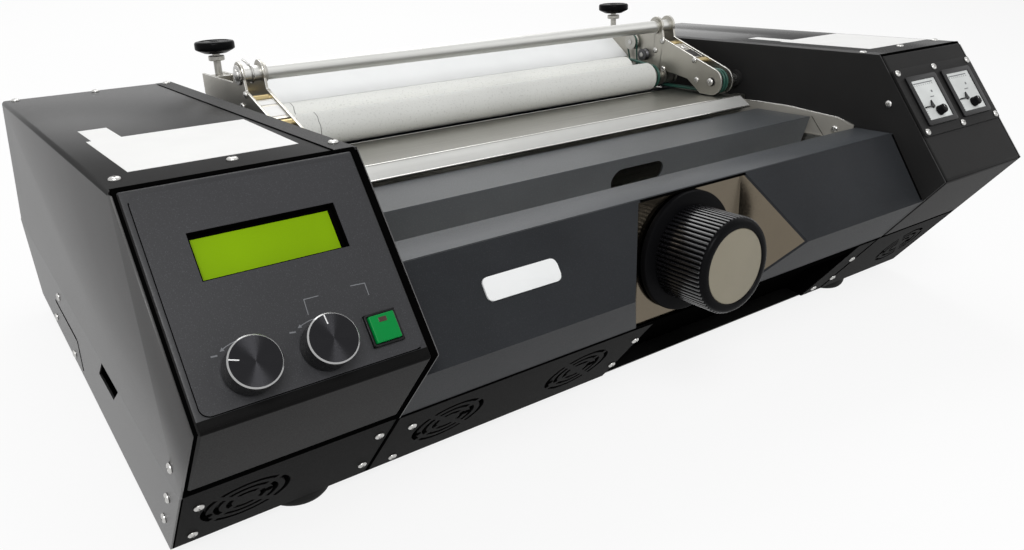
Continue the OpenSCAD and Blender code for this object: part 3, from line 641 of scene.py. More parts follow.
def make_finishes(c):
    """All finishes: name, linear colour, roughness, and what sets each apart from its kind."""
    coated("panel_black", c.panel, 0.4)
    # Lighter copy of the panel coat for the housings' sides and a thin rim: painted light
    coated("side_black", tint(c.panel, 4.8), 0.42, 0.15, shine=0.5)
    coated("tray_black", tint(c.panel, 0.9), 0.34, 0.15, shine=0.4)
    coated("right_black", c.panel, 0.24, 0.12, shine=0.8)
    coated("front_black", tint(c.panel, 1.3), 0.5, shine=0.05)
    coated("middle_black", (0.0235, 0.025, 0.0275), 0.42, shine=0.035)
    # Lighter coat on the ledge's skin than on the middle panel round it: painted light
    coated("ledge_black", (0.046, 0.050, 0.055), 0.36, shine=0.25)
    # Darker copy of the panel coat for the slanted base, which faces down: painted shade
    coated("base_black", tint(c.panel, 0.3), 0.6, shine=0.03)
    coated("inner_black", tint(c.panel, 1.2), 0.5, shine=0.15)
    # Darker copy of the panel coat for the left front's nose: painted shade
    coated("nose_black", tint(c.panel, 0.4), 0.55, shine=0.04)
    coated("border_grey", tint(c.foil, 0.88), 0.4, 0.2, 0.2)
    coated("foil_grey", c.foil, 0.4, 0.2, 0.25)
    coated("lid_black", (0.046, 0.050, 0.054), 0.36, 0.3, shine=0.4)
    # Lighter copy of the lid's coat for the lid's front skin: painted light
    coated("lid_front_black", (0.108, 0.115, 0.122), 0.4, 0.3, shine=0.3)
    # Flat black for dark joints and seams, and for gaps, holes and recess edges where shade falls: painted
    # shade
    moulded("gap_black", (0.0015, 0.0015, 0.0015), 1.0, shine=0.0)
    moulded("foot_rubber_black", (0.004, 0.004, 0.004), 0.75, 0.3, 900, shine=0.2)
    moulded("knob_plastic", (0.004, 0.004, 0.0045), 0.26, shine=0.03)
    moulded("skirt_plastic", (0.0035, 0.0035, 0.004), 0.4, shine=0.025)
    moulded("rib_plastic", (0.006, 0.006, 0.007), 0.24, shine=0.9)
    moulded("frame_plastic", (0.005, 0.005, 0.0055), 0.36, shine=0.16)
    moulded("cap_warm_grey", c.cap, 0.5, 0.05, cloud=0.04)
    moulded("start_green", c.start, 0.4, 0.05, cloud=0.05, shine=0.12)
    moulded("lens_dark", (0.04, 0.012, 0.008), 0.25)
    moulded("print_grey", (0.16, 0.165, 0.175), 0.6, shine=0.2)
    moulded("print_white", (0.75, 0.75, 0.75), 0.5)
    moulded("print_black", (0.01, 0.01, 0.01), 0.6)
    moulded("label_white", c.label, 0.55, 0.04, cloud=0.015)
    moulded("plate_white_enamel", (0.76, 0.77, 0.77), 0.35, 0.05, cloud=0.015)
    moulded("belt_green_cord", c.belt, 0.45, 0.2)
    moulded("drive_rubber", (0.01, 0.01, 0.01), 0.65, 0.3)
    moulded("board_green", (0.02, 0.1, 0.045), 0.5)
    moulded("guard_pale", (0.76, 0.77, 0.77), 0.5, 0.08, cloud=0.02)
    brushed("steel_sheet", (0.50, 0.49, 0.46), 0.3, grain=0.03, wear=0.05)
    brushed("table_steel", (0.265, 0.26, 0.235), 0.36, grain=0.012, wear=0.04)
    # Lighter copy of the table steel for the lip's skin: painted light
    brushed("lip_steel", (0.46, 0.46, 0.445), 0.6, grain=0.012, wear=0.05, metal=0.4)
    # Bright steel on sheet edges and folds: painted highlight
    brushed("steel_bright", (0.78, 0.775, 0.75), 0.2)
    brushed("steel_warm", (0.38, 0.365, 0.33), 0.36, metal=0.3)
    brushed("pocket_steel", (0.142, 0.120, 0.090), 0.15, (900, 6, 900), 0.012, 0.04)
    brushed("screw_nickel", (0.52, 0.515, 0.50), 0.28, (300, 300, 300))
    brushed("arm_warm_grey", (0.40, 0.385, 0.345), 0.38)
    brushed("brass", (0.44, 0.35, 0.18), 0.34)
    brushed("glue_roller_steel", (0.045, 0.05, 0.06), 0.42)
    brushed("motor_steel", (0.1, 0.1, 0.105), 0.4)
    brushed("turned_dark", (0.05, 0.05, 0.053), 0.3, (600, 600, 600), 0.03)
    brushed("turned_rim", (0.40, 0.40, 0.40), 0.2, (600, 600, 600), 0.02)
    brushed("tube_zinc", (0.60, 0.60, 0.58), 0.42, wear=0.03)
    brushed("pulley_grey", (0.42, 0.41, 0.38), 0.4, (300, 300, 300))
    turned_metal("turned_face", (0.022, 0.022, 0.024), 0.3)
    roller_cover("front_cover_white", c.roller, -0.1775)
    # The rear cover is a lighter copy of the front one: painted light
    roller_cover("rear_cover_white", tint(c.roller, 1.2), -0.1825)
    moulded("dial_face_pale", (0.62, 0.64, 0.63), 0.5, 0.03)
    lit_window("display_glow", c.display)


class MachineColours(bpy.types.PropertyGroup):
    """Colours of the machine's finishes"""

    def colour(name, text, value):
        return bpy.props.FloatVectorProperty(
            name=name, description=text, subtype="COLOR", size=3, min=0, max=1, default=value)

    panel: colour("Panels", "Powder coat of the sheet metal", (0.0115, 0.0113, 0.0113))
    foil: colour("Control foil", "Foil on the control panel", (0.021, 0.0213, 0.0238))
    display: colour("Display", "Lit display window", srgb(118, 154, 0))
    start: colour("Start button", "Cap of the start button", srgb(0, 122, 54))
    cap: colour("Film knob cap", "Cap on the film knob", srgb(128, 122, 106))
    label: colour("Blank labels", "Plain labels on the housings", (0.75, 0.75, 0.74))
    belt: colour("Round belts", "Belts of the press unit", srgb(30, 70, 60))
    roller: colour("Roller covers", "Covers of the press rollers", (0.64, 0.645, 0.62))


class MachineSizes(bpy.types.PropertyGroup):
    """Sizes of small details"""

    def length(name, text, value):
        return bpy.props.FloatProperty(
            name=name, description=text, default=value, min=0, unit="LENGTH", subtype="DISTANCE", precision=5)

    screw: length("Screw head", "Diameter of a panel screw's head", 0.0062)
    bolt: length("Arm bolt", "Diameter of an arm bolt's head", 0.0058)
    pivot: length("Pivot bolt", "Diameter of a pivot bolt's head", 0.0074)
    edge: length("Sheet edge", "Rounding of sheet edges", 0.0005)
    bend: length("Cover bend", "Outside radius of the covers' bends", 0.0028)
    gap: length("Panel gap", "Dark gap round a front panel", 0.0017)
    groove_and_shade_line: length("Foil shade line", "Half the width of the dark line beside the control foil", 0.00036)
    mark: length("Printed mark", "Width of a printed line", 0.00045)
    ribs: bpy.props.IntProperty(name="Grip ribs", description="Ribs on the film knob", default=64, min=8)


class MachineStage(bpy.types.PropertyGroup):
    """Camera lens, lamps, sky and floor"""

    def power(name, text, value):
        return bpy.props.FloatProperty(name=name, description=text, default=value, subtype="POWER")

    lens: bpy.props.FloatProperty(
        name="Lens", description="Focal length", default=30.348, subtype="DISTANCE_CAMERA")
    key: power("Key lamp", "Power of the large front lamp", 30)
    fill: power("Fill lamp", "Power of the right lamp", 2.5)
    back: power("Back lamp", "Power of the lamp behind", 20)
    sky: bpy.props.FloatProperty(name="Sky", description="Even light from all round", default=0.42, min=0)
    floor: bpy.props.FloatProperty(
        name="Floor share", description="Share of plain white in the floor",
        default=0.85, min=0, max=1, subtype="FACTOR")


# Stage: the camera's place in millimetres and its axes, and lamps with place and size in metres
CAMERA_PLACE = (-455.096, -567.961, 408.429)
CAMERA_RIGHT = (0.80648925, -0.5889666, 0.05189833)
CAMERA_UP = (0.23898975, 0.40502123, 0.88252009)
CAMERA_BACK = (-0.54079478, -0.69933979, 0.46740225)
SENSOR_WIDTH = 36.0
FLOOR_HALF = 9.0
FLOOR_GREYS = (0.86, 0.9)
LAMPS = {"key": ((-0.9, -1.3, 1.9), 0.9), "fill": ((1.7, -0.8, 1.1), 1.2), "back": ((0.3, 1.3, 1.7), 1.6)}
LAMP_AIM = Vector((0, 0, 0.12))


def add_camera(scene, p):
    cam = bpy.data.cameras.new("camera")
    cam.sensor_width, cam.lens = SENSOR_WIDTH, p.lens
    cam.clip_start, cam.clip_end = 0.01, 100
    obj = bpy.data.objects.new("camera", cam)
    place = Matrix((CAMERA_RIGHT, CAMERA_UP, CAMERA_BACK)).transposed().to_4x4()
    place.translation = Vector(CAMERA_PLACE) * MM
    obj.matrix_world = place
    scene.collection.objects.link(obj)
    scene.camera = obj


def emptied(owner, *kinds):
    """The owner's node tree, emptied, and new nodes of these kinds in it."""
    owner.use_nodes = True
    tree = owner.node_tree
    tree.nodes.clear()
    return tree, [tree.nodes.new("ShaderNode" + kind) for kind in kinds]


def plain_rays(tree):
    """1 for camera, mirror and clear rays, which see plain white surroundings."""
    path = tree.nodes.new("ShaderNodeLightPath")
    seen = path.outputs["Is Camera Ray"]
    for word in ("Is Glossy Ray", "Is Transmission Ray"):
        either = tree.nodes.new("ShaderNodeMath")
        either.operation = "MAXIMUM"
        tree.links.new(seen, either.inputs[0])
        tree.links.new(path.outputs[word], either.inputs[1])
        seen = either.outputs[0]
    return seen


def add_sky(scene, p):
    scene.world = bpy.data.worlds.new("studio")
    tree, (out, sky, level) = emptied(scene.world, "OutputWorld", "Background", "Mix")
    level.data_type = "FLOAT"
    level.inputs[2].default_value = p.sky
    level.inputs[3].default_value = 1.0
    sky.inputs[0].default_value = (1, 1, 1, 1)
    tree.links.new(plain_rays(tree), level.inputs[0])
    tree.links.new(level.outputs[0], sky.inputs[1])
    tree.links.new(sky.outputs[0], out.inputs[0])


def add_floor(scene, p):
    mesh = bpy.data.meshes.new("floor")
    h = FLOOR_HALF
    mesh.from_pydata([(-h, -h, 0), (h, -h, 0), (h, h, 0), (-h, h, 0)], [], [(0, 1, 2, 3)])
    floor = bpy.data.objects.new("floor", mesh)
    scene.collection.objects.link(floor)
    mat = bpy.data.materials.new("pale_floor")
    tree, (out, matt, white, both) = emptied(mat, "OutputMaterial", "BsdfDiffuse", "Emission", "MixShader")
    kinds = ("TexNoise", "TexCoord", "ValToRGB", "Math")
    noise, where, shade, share = (tree.nodes.new("ShaderNode" + kind) for kind in kinds)
    noise.inputs["Scale"].default_value = 3.0
    for stop, grey in zip(shade.color_ramp.elements, FLOOR_GREYS):
        stop.color = (grey, grey, grey, 1)
    share.operation = "MULTIPLY"
    share.inputs[1].default_value = p.floor
    for a, b in (
        (where.outputs["Object"], noise.inputs["Vector"]),
        (noise.outputs[0], shade.inputs[0]),
        (shade.outputs[0], matt.inputs[0]),
        (plain_rays(tree), share.inputs[0]),
        (share.outputs[0], both.inputs[0]),
        (matt.outputs[0], both.inputs[1]),
        (white.outputs[0], both.inputs[2]),
        (both.outputs[0], out.inputs[0]),
    ):
        tree.links.new(a, b)
    mesh.materials.append(mat)


def add_lamps(scene, p):
    for name, (place, size) in LAMPS.items():
        lamp = bpy.data.lights.new(name, "AREA")
        lamp.energy, lamp.size = getattr(p, name), size
        obj = bpy.data.objects.new(name, lamp)
        obj.location = place
        obj.rotation_euler = (LAMP_AIM - Vector(place)).to_track_quat("-Z", "Y").to_euler()
        scene.collection.objects.link(obj)


class MACHINE_OT_stage(bpy.types.Operator):
    """Floor, soft studio light and the camera"""
    bl_idname = "machine.stage"
    bl_label = "Stage"

    def execute(self, context):
        scene = context.scene
        scene.view_settings.view_transform = "Standard"
        for add in (add_camera, add_sky, add_floor, add_lamps):
            add(scene, scene.machine_stage)
        return {"FINISHED"}


# Finishes of the solids that keep their own shape, or that show behind a piece
PAINT = {
    "panel_black": ["left_cover"],
    "right_black": ["right_cover"],
    "middle_black": ["mid_front_panel"],
    "base_black": ["base_front_left", "base_front_mid", "base_front_right"],
    "tray_black": ["base_tray"],
    "front_black": ["instrument_plate"],
    "inner_black": ["left_inner_panel", "right_inner_panel"],
    # The front sheets under the skins show only in the gaps round them, in flat black: painted shade
    "gap_black": ["left_front", "right_front", "bay_channel"],
    "foil_grey": ["control_plate"],
    "foot_rubber_black": ["feet"],
    "board_green": ["control_board"],
    "display_glow": ["lcd_glass"],
    "frame_plastic": ["button_frame", "dial_frames", "dial_knob_1", "dial_knob_2", "dial_pointer_1",
                      "dial_pointer_2", "mains_inlet", "fan_frames", "fan_wheel_left", "fan_wheel_right"],
    "start_green": ["button_cap"],
    "turned_dark": ["set_knob", "speed_knob"],
    "screw_nickel": ["set_push_stem", "panel_screws"],
    "dial_face_pale": ["dial_faces"],
    "pocket_steel": ["recess_pocket"],
    "plate_white_enamel": ["blank_plate"],
    "knob_plastic": ["film_knob", "handwheel_left", "handwheel_right"],
    "cap_warm_grey": ["film_knob_cap"],
    "steel_sheet": ["doctor_blade", "glue_tank", "exit_table"],
    "table_steel": ["feed_table"],
    "steel_warm": ["tank_sides"],
    "lid_black": ["tank_lid"],
    "glue_roller_steel": ["glue_roller"],
    "motor_steel": ["motor", "power_unit", "motor_pulley"],
    "drive_rubber": ["drive_belt"],
    "arm_warm_grey": ["arm_left", "arm_right", "pivot_pulley_left", "pivot_pulley_right"],
    "brass": ["arm_spacers"],
    "tube_zinc": ["lift_bar"],
    "guard_pale": ["guard_sheet"],
    "front_cover_white": ["front_roller"],
    "rear_cover_white": ["rear_roller"],
    "belt_green_cord": ["round_belts"],
}


class MACHINE_OT_finishes(bpy.types.Operator):
    """Finishes on all solids that keep their own shape"""
    bl_idname = "machine.finishes"
    bl_label = "Finishes"

    def execute(self, context):
        make_finishes(context.scene.machine_colours)
        for finish_name, nodes in PAINT.items():
            paint(finish_name, *nodes)
        return {"FINISHED"}


# Front skins in millimetres: height over the solid, rounding of the edges, depth of the sheet behind that
# rounding, length of the turned ends and the least radius that a bend keeps at the sides
SKIN, SKIN_EDGE, SKIN_BACK, TURN_IN, LEAST_BEND = 0.8, 1.6, 0.8, 6, 0.2
LEFT_JOINT, JOINT_LAP = 4.5, 0.2  # width of the dark joint at the left front's inner end, and its overlap
# The joint and the thin rim beside it: height over the solid, rounding of the edges, and where each one
# ends or starts before the inner side
JOINT_HEIGHT, JOINT_EDGE, JOINT_END = 0.7, 0.25, 0.5
RIM_HEIGHT, RIM_EDGE, RIM_WIDTH = 0.75, 0.1, 0.55
LEFT_LOW, RIGHT_LOW, JOINT_LOW = 10.0, 3.2, 1.0  # gaps below the left front, the right one and the joint
# Radii of a front's bends: at its upper edge, its nose and its lower edge
LEFT_BENDS, RIGHT_BENDS, JOINT_BENDS = (1.8, 2.0, 1.2), (1.8, 4.0, 1.2), (0.6, 1.2, 0.6)
FOIL, FOIL_SIZE, FOIL_CORNER = (-315, 61.75), (116, 111.5), 5
# Dark band below the foil, along the nose: painted shade
NOSE_SHADE, NOSE_SHADE_SIZE = (-315.5, 120.4, 0.75), (121.0, 4.6, 0.4)
CUT_LOW, CUT_HIGH = -8, 6  # reach of the foil's opening behind the panel and before it
# Upward normals that part the left front's border, its nose and its slanted front; the nose takes a darker
# coat, as painted shade
BORDER_UP, NOSE_UP = 0.66, -0.45
# Dark lines: depth of the usual and the fine ones, and the middle and length of the faces that they cross
SEAM, FINE_SEAM = 0.5, 0.4
FRONT_MID, FRONT_WIDE = (HALF + INNER) / 2, HALF - INNER - 3
BASE_MID, BASE_LONG = 44, 86
MIDDLE_MID, MIDDLE_LONG = 32, 62
TOP_SEAM_X, TOP_MID, TOP_LONG = -INNER - 13.6, 172, 340
RECESS_X, RECESS_WIDE = 0.5, 109
SIDE_INSET = 1.6


def pillow(x0, x1, path, r, radii, n=4):
    """Panel with rounded edges: the path runs over its face from top to bottom, and its ends turn in."""
    rings = []
    inner = shift_path(path, r + SKIN_BACK)[::-1]
    for side in (0, 1):
        for k in range(n + 1):
            a = math.pi / 2 * (k if side == 0 else n - k) / n
            inset, dx = r * (1 - math.sin(a)), r * (1 - math.cos(a))
            face = fillet_path(shift_path(path, inset), [max(q - inset, LEAST_BEND) for q in radii])
            x = x0 + dx if side == 0 else x1 - dx
            rings.append([(x, y, z) for y, z in face + inner])
    return Shape().loft(rings)


def front_path(height, top_gap, low_gap):
    """Over the sloped panel, round the nose and down the slanted front, standing proud by height."""
    a, b, c = (Vector(q) for q in shift_path([TOP, NOSE, BASE], -height))
    down, under = (b - a).normalized(), (c - b).normalized()
    s, e = a + down * top_gap, c - under * low_gap
    start = s + Vector((-down.y, down.x)) * TURN_IN
    end = e + Vector((-under.y, under.x)) * TURN_IN
    return [tuple(q) for q in (start, s, b, e, end)]


def left_front(gap):
    """Left front: the skin round the control foil with a darker nose, a dark band below the foil and a black
    joint at its right, all three painted shade, and a thin rim in a lighter coat, painted light.
    """
    path = front_path(SKIN, gap, LEFT_LOW)
    solid = pillow(-HALF + SHEET + gap, -INNER - LEFT_JOINT + JOINT_LAP, path, SKIN_EDGE, LEFT_BENDS)
    hole = Shape().prism(on_panel(*FOIL), rounded(*FOIL_SIZE, FOIL_CORNER), CUT_LOW, CUT_HIGH)
    skin = cut_mesh(solid.mesh("left_front_skin"), hole.mesh("foil_opening"))
    flatten_large(skin)
    for poly in skin.polygons:
        up, ahead = poly.normal.z, abs(poly.normal.x) < 0.5
        poly.material_index = 1 if up > BORDER_UP else 2 if up > NOSE_UP and ahead else 0
    put("left_front_skin", skin, ["front_black", "border_grey", "nose_black"], "frame")
    lip = Shape().block(on_panel(*NOSE_SHADE), NOSE_SHADE_SIZE, bevel=0.1)
    lip.finish("left_front_lip", "nose_black", "frame", "black_powder_coat")
    path = front_path(JOINT_HEIGHT, gap, JOINT_LOW)
    joint = pillow(-INNER - LEFT_JOINT, -INNER - JOINT_END, path, JOINT_EDGE, JOINT_BENDS)
    joint.finish("left_front_joint", "gap_black", "frame", "dark_bay")
    path = front_path(RIM_HEIGHT, gap, JOINT_LOW)
    rim = pillow(-INNER - RIM_WIDTH, -INNER, path, RIM_EDGE, JOINT_BENDS)
    rim.finish("left_front_rim", "side_black", "frame", "black_powder_coat")


def right_front(gap):
    path = front_path(SKIN, gap, RIGHT_LOW)
    skin = pillow(INNER + SHEET + SKIN, HALF - SHEET - gap, path, SKIN_EDGE, RIGHT_BENDS)
    flatten_large(skin.finish("right_front_skin", "front_black", "frame", "black_powder_coat").data)


def panel_gaps():
    """Dark lines where panels meet, each a thin black block half sunk in the face behind it that stands for
    the shade in the gap (painted shade): place and size.
    """
    lines = [
        (on_base(0, 0), (2 * INNER - 1, 3.4, SEAM)),
        (on_base(-INNER, BASE_MID), (2.6, BASE_LONG, SEAM)),
        (on_base(INNER, BASE_MID), (2.6, BASE_LONG, SEAM)),
        (on_base(FRONT_MID, 0), (FRONT_WIDE, 3.0, FINE_SEAM)),
        (on_base(-FRONT_MID, -5.6), (FRONT_WIDE, 9.0, SEAM)),
        (on_top(TOP_SEAM_X, TOP_MID), (1.2, TOP_LONG, SEAM)),
        (on_base(SIDE_INSET - HALF, BASE_MID), (0.9, BASE_LONG, FINE_SEAM)),
        (on_base(HALF - SIDE_INSET, BASE_MID), (0.9, BASE_LONG, FINE_SEAM)),
        (on_middle(INNER - 1.4, MIDDLE_MID), (2.2, MIDDLE_LONG, SEAM)),
        (on_middle(1.2 - INNER, MIDDLE_MID), (1.8, MIDDLE_LONG, SEAM)),
        (on_middle(RECESS_X, 1.0), (RECESS_WIDE, 1.9, SEAM)),
    ]
    dark = Shape()
    for place, size in lines:
        dark.block(place, size)
    dark.finish("panel_gaps", "gap_black", "frame", "dark_bay")


class MACHINE_OT_fronts(bpy.types.Operator):
    """Sloped front panels with rounded edges and the dark gaps round them"""
    bl_idname = "machine.fronts"
    bl_label = "Front panels"

    def execute(self, context):
        gap = context.scene.machine_sizes.gap / MM
        left_front(gap)
        right_front(gap)
        panel_gaps()
        return {"FINISHED"}


# Covers in millimetres: start behind the panel's edge, radius of the rear bend and the least that it keeps
# at the side, distance of the inner edge from the inner panel, and steps of the bend along the side
COVER_START, REAR_BEND, LEAST_REAR_BEND, COVER_REACH, BEND_STEPS = 2.2, 3.5, 0.3, 13.4, 5
# Strip that closes a cover's back beside the inner panel: place, width, depth below the back, gap at its ends
RETURN_X, RETURN_WIDTH, RETURN_Z, RETURN_GAP = INNER + 7.5, 11.9, -0.85, 1
FRONT_EDGE = (TOP[0] - 2.4, TOP[1] - 2.4)  # where a cover's side ends on the sloped panel


def cover_skin(sign, r):
    """Outside of a housing cover: side, top and back in one bent sheet."""
    path = [(TOP[0] + COVER_START, TOP[1] - COVER_START * math.tan(LEAN)), BACK, REAR]
    rows = []
    for k in range(BEND_STEPS + 1):
        a = math.pi / 2 * k / BEND_STEPS
        inset, dx = r * (1 - math.sin(a)), r * (1 - math.cos(a))
        face = fillet_path(shift_path(path, -inset), [max(REAR_BEND - inset, LEAST_REAR_BEND)])
        rows.append([(sign * (HALF - dx), y, z) for y, z in face])
    rows.append([(sign * (INNER + COVER_REACH), y, z) for _, y, z in rows[-1]])
    part = bmesh.new()
    grid = [[part.verts.new(q) for q in row] for row in rows]
    for a, b in zip(grid, grid[1:]):
        for k in range(len(a) - 1):
            part.faces.new((a[k], a[k + 1], b[k + 1], b[k]))
    front = [part.verts.new((sign * HALF, y, z)) for y, z in (BASE, NOSE, FRONT_EDGE)]
    side = part.faces.new(grid[0] + front)
    part.normal_update()
    bmesh.ops.recalc_face_normals(part, faces=part.faces)
    if side.normal.x * sign < 0:
        bmesh.ops.reverse_faces(part, faces=part.faces)
    # The side face takes the lighter side coat: painted light
    side.material_index = 1
    part.transform(Matrix.Scale(MM, 4))
    mesh = bpy.data.meshes.new("cover")
    part.to_mesh(mesh)
    part.free()
    flatten_large(mesh)
    mesh.set_sharp_from_angle(angle=SHARP)
    return mesh


class MACHINE_OT_covers(bpy.types.Operator):
    """Bent covers of the two housings"""
    bl_idname = "machine.covers"
    bl_label = "Covers"

    def execute(self, context):
        bend = context.scene.machine_sizes.bend / MM
        down, middle = Vector(REAR) - Vector(BACK), (Vector(BACK) + Vector(REAR)) / 2
        for sign, word, coat in ((-1, "left", "panel_black"), (1, "right", "right_black")):
            obj = put(word + "_cover_skin", cover_skin(sign, bend), [coat, "side_black"],
                      "frame", [word + "_cover"])
            wall = obj.modifiers.new("sheet", "SOLIDIFY")
            wall.thickness, wall.offset = SHEET * MM, -1
            place = at(sign * RETURN_X, middle.x, middle.y, math.atan2(down.y, down.x))
            size = (RETURN_WIDTH, down.length - 2 * RETURN_GAP, SHEET)
            strip = Shape().block(place @ move(0, 0, RETURN_Z), size, bevel=0.4)
            strip.finish(word + "_cover_return", "panel_black", "frame", "black_powder_coat")
        return {"FINISHED"}


# Control panel in millimetres: x across, then down from the upper edge
DISPLAY = (-314.3, 42.3)
SET_X, SPEED_X, START_X, KNOB_ROW = -346, -307, -275, 102
# Dark line along the foil's left and lower edges, painted shadow of the foil's raised edge: its x, its start,
# its lower side, its end and its height
FOIL_SHADE_X, FOIL_SHADE_START, FOIL_SHADE_LOW, FOIL_SHADE_END, FOIL_SHADE_H = -373, 9.0, 117.5, -259, 1.45
PRINT_UP, PRINT_H, DASH_WIDTH, ARROW_LONG = 2.0, 0.06, 0.8, 2.0
START_CAP, START_FOOT, START_H = 14.4, -4.5, 5.6  # width of the start button's cap, heights of foot and face
START_WINDOW, WINDOW_UP, WINDOW_SUNK, WINDOW_PROUD = (4.6, 2.6), 4.2, 0.3, 0.12
# Printed lines: x across, y up from the upper edge
DASHES = ([(-360.7, -91.2), (-357.6, -91.4)], [(-321.9, -90.6), (-318.8, -91.0)])
ARROWS = (
    [(-345.8, -87.1), (-348.1, -87.2), (-350.4, -87.7), (-352.7, -88.4), (-354.2, -89.1)],
    [(-307.3, -87.2), (-309.5, -87.3), (-311.7, -87.7), (-313.9, -88.3), (-315.3, -88.8)],
)
BRACKETS = (
    [(-309.8, -84.5), (-309.3, -76.3), (-301.5, -76.4)],
    [(-283.6, -75.8), (-275.6, -76.3), (-275.8, -83.1)],
)
# Sides of a frame about its place: middle x and y, width and height
LINER = ((0, 12.5, 77, 0.5), (0, -12.5, 77, 0.5), (38.2, 0, 0.6, 25.5), (-38.2, 0, 0.6, 25.5))
# Dark bands on the display glass at its top and right: painted shadow of the liner's walls
LINER_PAINTED_SHADOW = ((0, 11.4, 76, 1.9), (36.8, 0, 2.4, 25))
BEZEL = ((0, 8.15, 17.6, 1.3), (0, -8.15, 17.6, 1.3), (8.15, 0, 1.3, 17.6), (-8.15, 0, 1.3, 17.6))


def frame_sides(shape, place, sides, z, depth, bevel):
    """Blocks of one depth about z, one for each side of a frame."""
    for x, y, w, h in sides:
        shape.block(place @ move(x, y, z), (w, h, depth), bevel)


# Black wire along the foil's left and lower edges: painted shadow of the foil's raised edge
def foil_groove(r):
    corner = arc(FOIL_SHADE_X + FOIL_CORNER, FOIL_SHADE_LOW - FOIL_CORNER, FOIL_CORNER, -190, -261, -10)
    edge = [(FOIL_SHADE_X, FOIL_SHADE_START), (FOIL_SHADE_X, FOIL_SHADE_LOW - FOIL_CORNER)] + corner
    edge += [(FOIL_SHADE_X + FOIL_CORNER, FOIL_SHADE_LOW), (FOIL_SHADE_END, FOIL_SHADE_LOW)]
    groove_and_shade_line = Shape().wire([on_panel(x, s, FOIL_SHADE_H).translation / MM for x, s in edge], r)
    groove_and_shade_line.finish("foil_groove", "gap_black", "frame", "panel_foil")


def display_liner():
    liner = Shape()
    frame_sides(liner, on_panel(*DISPLAY), LINER, z=-0.35, depth=4.4, bevel=0.1)
    frame_sides(liner, on_panel(*DISPLAY), LINER_PAINTED_SHADOW, z=-2.4, depth=0.3, bevel=0.05)
    liner.finish("display_liner", "gap_black", "frame", "black_plastic")


def printed_marks(width):
    """Dashes, curved arrows and brackets beside the knobs."""
    marks, face = Shape(), on_panel(0, 0, PRINT_UP)
    for dash in DASHES:
        marks.line(face, dash, DASH_WIDTH, PRINT_H)
    for bow in ARROWS:
        marks.line(face, bow, width, PRINT_H)
        tip = Vector(bow[-1])
        way = (tip - Vector(bow[-2])).normalized()
        out = Vector((-way.y, way.x))
        marks.prism(face, (tip + way * ARROW_LONG, tip - out, tip + out), 0.0, PRINT_H)
    for bracket in BRACKETS:
        marks.line(face, bracket, width, PRINT_H)
    marks.finish("printed_marks", "print_grey", "frame", "panel_foil")


def start_button():
    place = on_panel(START_X, KNOB_ROW)
    outline = rounded(START_CAP, START_CAP, r=0.6, steps=2)
    cap = Shape().prism(place, outline, START_FOOT, START_H, bevel=0.7, steps=3)
    cap.finish("start_cap", "start_green", "start_button", "button_green", ["button_cap"])
    outline, up = rounded(*START_WINDOW, r=0.4, steps=2), place @ move(0, WINDOW_UP, START_H)
    window = Shape().prism(up, outline, -WINDOW_SUNK, WINDOW_PROUD, bevel=0.1)
    window.finish("start_window", "lens_dark", "start_button", "button_green")
    bezel = Shape()
    frame_sides(bezel, place, BEZEL, z=-2.9, depth=14.2, bevel=0.35)
    bezel.finish("start_frame", "frame_plastic", "frame", "black_plastic", ["button_frame"])


class MACHINE_OT_control_panel(bpy.types.Operator):
    """Painted shadow line along the foil, display liner with painted shadow on its glass, printed marks and
    the start button
    """
    bl_idname = "machine.control_panel"
    bl_label = "Control panel"

    def execute(self, context):
        p = context.scene.machine_sizes
        foil_groove(p.groove_and_shade_line / MM)
        display_liner()
        printed_marks(p.mark / MM)
        start_button()
        return {"FINISHED"}


def turned_face(name, place, r, z, body):
    """Flat turned face with its own UV map, so that the sheen follows the turning marks."""
    mesh = bpy.data.meshes.new(name)
    n, rows = 96, (0.15, 0.35, 0.6, 0.85, 1.0)  # steps round, and the rings' shares of the radius
    verts = [(0, 0, z)] + [(r * q * c, r * q * s, z) for q in rows for c, s in circle(n)]
    faces = [(0, 1 + k, 1 + (k + 1) % n) for k in range(n)]
    for j in range(len(rows) - 1):
        for k in range(n):
            a, b = 1 + j * n + k, 1 + j * n + (k + 1) % n
            faces.append((a, a + n, b + n, b))
    mesh.from_pydata([place @ (Vector(v) * MM) for v in verts], [], faces)
    uv = mesh.uv_layers.new(name="turn")
    for poly in mesh.polygons:
        spots = [verts[mesh.loops[i].vertex_index] for i in poly.loop_indices]
        a0 = math.atan2(sum(v[1] for v in spots), sum(v[0] for v in spots))
        for i, v in zip(poly.loop_indices, spots):
            d = math.hypot(v[0], v[1])
            a = a0 if d < 1e-9 else math.atan2(v[1], v[0])
            a = a0 + (a - a0 + math.pi) % (2 * math.pi) - math.pi
            uv.data[i].uv = (a / (2 * math.pi), d / r)
    return put(name, mesh, "turned_face", body)


# Knobs: x, height of the knob's foot over the panel, and the index line's angle in degrees
CONTROL_KNOBS = {"set": (SET_X, 3.7, 160), "speed": (SPEED_X, 2.8, 94)}
# Profiles of (radius, height) in millimetres
KNOB_SIDE = [(9, 0), (12.6, 0), (13, 0.5), (13, 13.3)]
KNOB_RIM = [(13, 13.2), (13, 13.45), (12.4, 14.05), (12.25, 14.05), (12.25, 13.2)]
KNOB_FOOT = [(2.2, 0), (2.2, 6), (12, 6), (12, 0)]
KNOB_FACE_R, KNOB_FACE_H = 12.35, 13.9
INDEX_R, INDEX_H, INDEX_SIZE = 9.8, KNOB_FACE_H + 0.05, (4.8, 0.6, 0.2)


